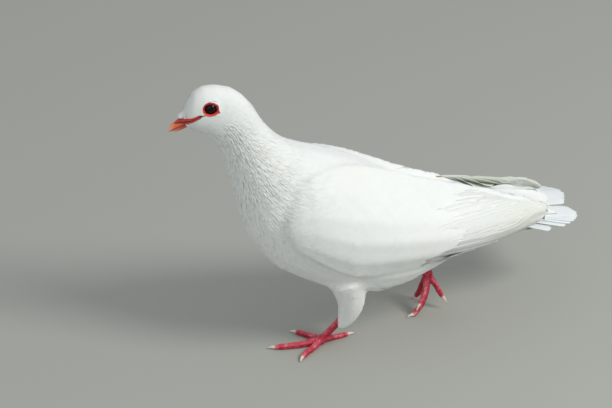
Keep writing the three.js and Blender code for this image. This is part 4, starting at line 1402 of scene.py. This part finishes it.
def foot_scales(mesh, lines, backs):
    """Where each point of a foot lies: how many plates along its toe or shank, and how far on top."""
    points, out = read_points(mesh), outward(mesh)
    gaps, runs, tops, shares = [], [], [], []
    for line, back, pitch in zip(lines, backs, (shank_plate,) + (toe_plate,) * 4):
        nearest = ((points[:, None] - line) ** 2).sum(-1).argmin(1)
        ahead = unit(np.gradient(line, axis=0))[nearest]
        beside = points - line[nearest]
        lengthwise = (beside * ahead).sum(1)
        gaps.append(np.linalg.norm(beside, axis=1))
        steps = np.concatenate([[0], np.cumsum(np.linalg.norm(np.diff(line, axis=0), axis=1))])
        runs.append((steps[nearest] + lengthwise) / pitch)
        upper = unit(back - ahead * (ahead @ back)[:, None])
        tops.append((out * upper).sum(1))
        shares.append(nearest / (len(line) - 1))
    gaps = np.array(gaps)
    closest, rows = gaps.argmin(0), np.arange(len(points))
    clear = ((np.sort(gaps, 0)[1] - gaps.min(0)) / (1.6 * mm)).clip(0, 1)
    run, top, share = (np.array(part)[closest, rows] for part in (runs, tops, shares))
    return run, top * clear, share, closest


scaled_red, scaled_shader = new_material("scaled_red", (0.55, 0.02, 0.05), 0.45)
place = object_place(scaled_red)
run = value_of(scaled_red, "run")
cloud = noise(scaled_red, place, 260, 4)
grain = noise(scaled_red, place, 1700, 3)
wavy = calculated(scaled_red, "MULTIPLY_ADD", cloud, 0.5, run)
within = calculated(scaled_red, "FRACT", wavy)
from_middle = calculated(scaled_red, "ABSOLUTE", calculated(scaled_red, "SUBTRACT", within, 0.5))
plate = spread(scaled_red, from_middle, 0.36, 0.49, 1.0, 0.0)
cells = add_node(scaled_red, "ShaderNodeTexVoronoi", {"Vector": place, "Scale": 1150},
                 feature="DISTANCE_TO_EDGE").outputs["Distance"]
cell = spread(scaled_red, cells, 0.0, 0.14)
on_top = spread(scaled_red, value_of(scaled_red, "top"), 0.10, 0.45)
plate_over = calculated(scaled_red, "SUBTRACT", plate, cell)
height = calculated(scaled_red, "MULTIPLY_ADD", plate_over, on_top, cell)
crimson = mixed(scaled_red, spread(scaled_red, cloud, 0.34, 0.66),
                (0.42, 0.008, 0.026), (0.66, 0.035, 0.080))
# Painted light: the upper side of each toe and shank is painted brighter.
lit = mixed(scaled_red, spread(scaled_red, value_of(scaled_red, "top"), 0.3, 1.0, 0.0, 0.45), crimson,
            (0.78, 0.085, 0.13))
# Painted shade: the low ground between plates and scales is darkened.
lit = mixed(scaled_red, spread(scaled_red, height, 0.0, 0.6, 0.65, 0.0), lit, (0.16, 0.002, 0.010))
worn = calculated(scaled_red, "MULTIPLY", spread(scaled_red, grain, 0.52, 0.66),
                  spread(scaled_red, cloud, 0.46, 0.62))
worn = calculated(scaled_red, "MULTIPLY", worn, spread(scaled_red, value_of(scaled_red, "top"), -0.2, 0.5))
lit = mixed(scaled_red, worn, lit, (0.85, 0.62, 0.64))
toe_end = spread(scaled_red, value_of(scaled_red, "share"), 0.90, 1.0, 0.0, 0.55)
link(scaled_red, mixed(scaled_red, toe_end, lit, (0.84, 0.42, 0.42)), scaled_shader.inputs["Base Color"])
link(scaled_red, spread(scaled_red, grain, 0.3, 0.7, 0.36, 0.6), scaled_shader.inputs["Roughness"])
under = raised(scaled_red, scaled_shader, height, 0.16 * mm)
raised(scaled_red, scaled_shader, grain, 0.05 * mm, under=under)

claw_horn, claw_shader = new_material("claw_horn", (0.80, 0.62, 0.57), 0.35)
along = value_of(claw_horn, "along")
streaks = noise(claw_horn, object_place(claw_horn), 900, 3)
horn = ramp_of(claw_horn, along, [(0.0, (0.80, 0.46, 0.43)), (0.25, (0.83, 0.66, 0.60)),
                                  (0.75, (0.80, 0.69, 0.60)), (1.0, (0.42, 0.32, 0.26))])
link(claw_horn, mixed(claw_horn, spread(claw_horn, streaks, 0.4, 0.7, 0.0, 0.35), horn, (0.62, 0.42, 0.38)),
     claw_shader.inputs["Base Color"])
raised(claw_horn, claw_shader, streaks, 0.05 * mm)

for side, shank_back in (("left", (0, 0, 1)), ("right", (0, 0, -1))):
    toes = ["toe_%s_%s" % (digit, side) for digit in digits]
    shank = "tarsus_" + side
    toe_points = np.concatenate([corners_of(toe) for toe in toes])
    knuckle = min(merged_copy(shank, 0)[0], key=lambda point: (point - Vector(toe_points.mean(0))).length)
    lines = [centre_line(shank, 2 * np.array(knuckle) - toe_points.mean(0))[::-1]]
    lines += [centre_line(toe, np.array(knuckle)) for toe in toes]
    backs = np.array([shank_back] + [(0, 0, 1)] * 4, float)
    foot_mesh = fused([shank] + toes, foot_voxel, 6, 0.1 * mm)
    run, top, share, closest = foot_scales(foot_mesh, lines, backs)
    points = read_points(foot_mesh)
    rounded = np.abs(np.sin(math.pi * run)) ** 0.5 - 0.6
    pads = np.sin(math.pi * run / 3).clip(0) * (-top).clip(0, 1) * (closest > 0)
    relief = 0.16 * rounded * (top * 2 - 0.2).clip(0, 1) + 0.35 * pads
    points += outward(foot_mesh) * (relief * mm)[:, None]
    points[:, 2] = points[:, 2].clip(just_above_floor)
    write_points(foot_mesh, points)
    give_values(foot_mesh, [("run", run), ("top", top), ("share", share * (closest > 0))])
    foot = new_piece("foot_" + side, foot_mesh, [scaled_red])
    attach(foot, "root")
    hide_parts(shank, *toes)
    for digit, line in zip(digits, lines[1:]):
        name = "claw_%s_%s" % (digit, side)
        corners = corners_of(name)
        start = line[-1] - 1.2 * mm * unit(line[-1] - line[-6])
        tip = corners[np.linalg.norm(corners - start, axis=1).argmax()]
        s = np.linspace(0, 1, claw_rings)[:, None]
        way = unit(tip - start)
        upper = unit(np.array([0, 0, 1.0]) - way * way[2])
        bend = (start + tip) / 2 + upper * 1.7 * mm
        path = start * (1 - s) ** 2 + 2 * bend * s * (1 - s) + tip * s ** 2
        radii = (1.45 * (1 - s[:, 0]) ** 0.65 * (1 - 0.25 * s[:, 0]) + 0.14) * mm
        rings = tube(path, radii, claw_sides, upper).reshape(claw_rings, claw_sides, 3)
        below = ((rings - path[:, None]) @ upper) / radii[:, None]
        rings = rings - upper * (0.25 * below.clip(-1, 0) * radii[:, None])[..., None]
        rings[..., 2] = rings[..., 2].clip(just_above_floor)
        claw = closed_loft(name, rings, along=s)
        piece = new_piece("horn_" + name, claw, [claw_horn])
        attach(piece, "root")
        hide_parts(name)
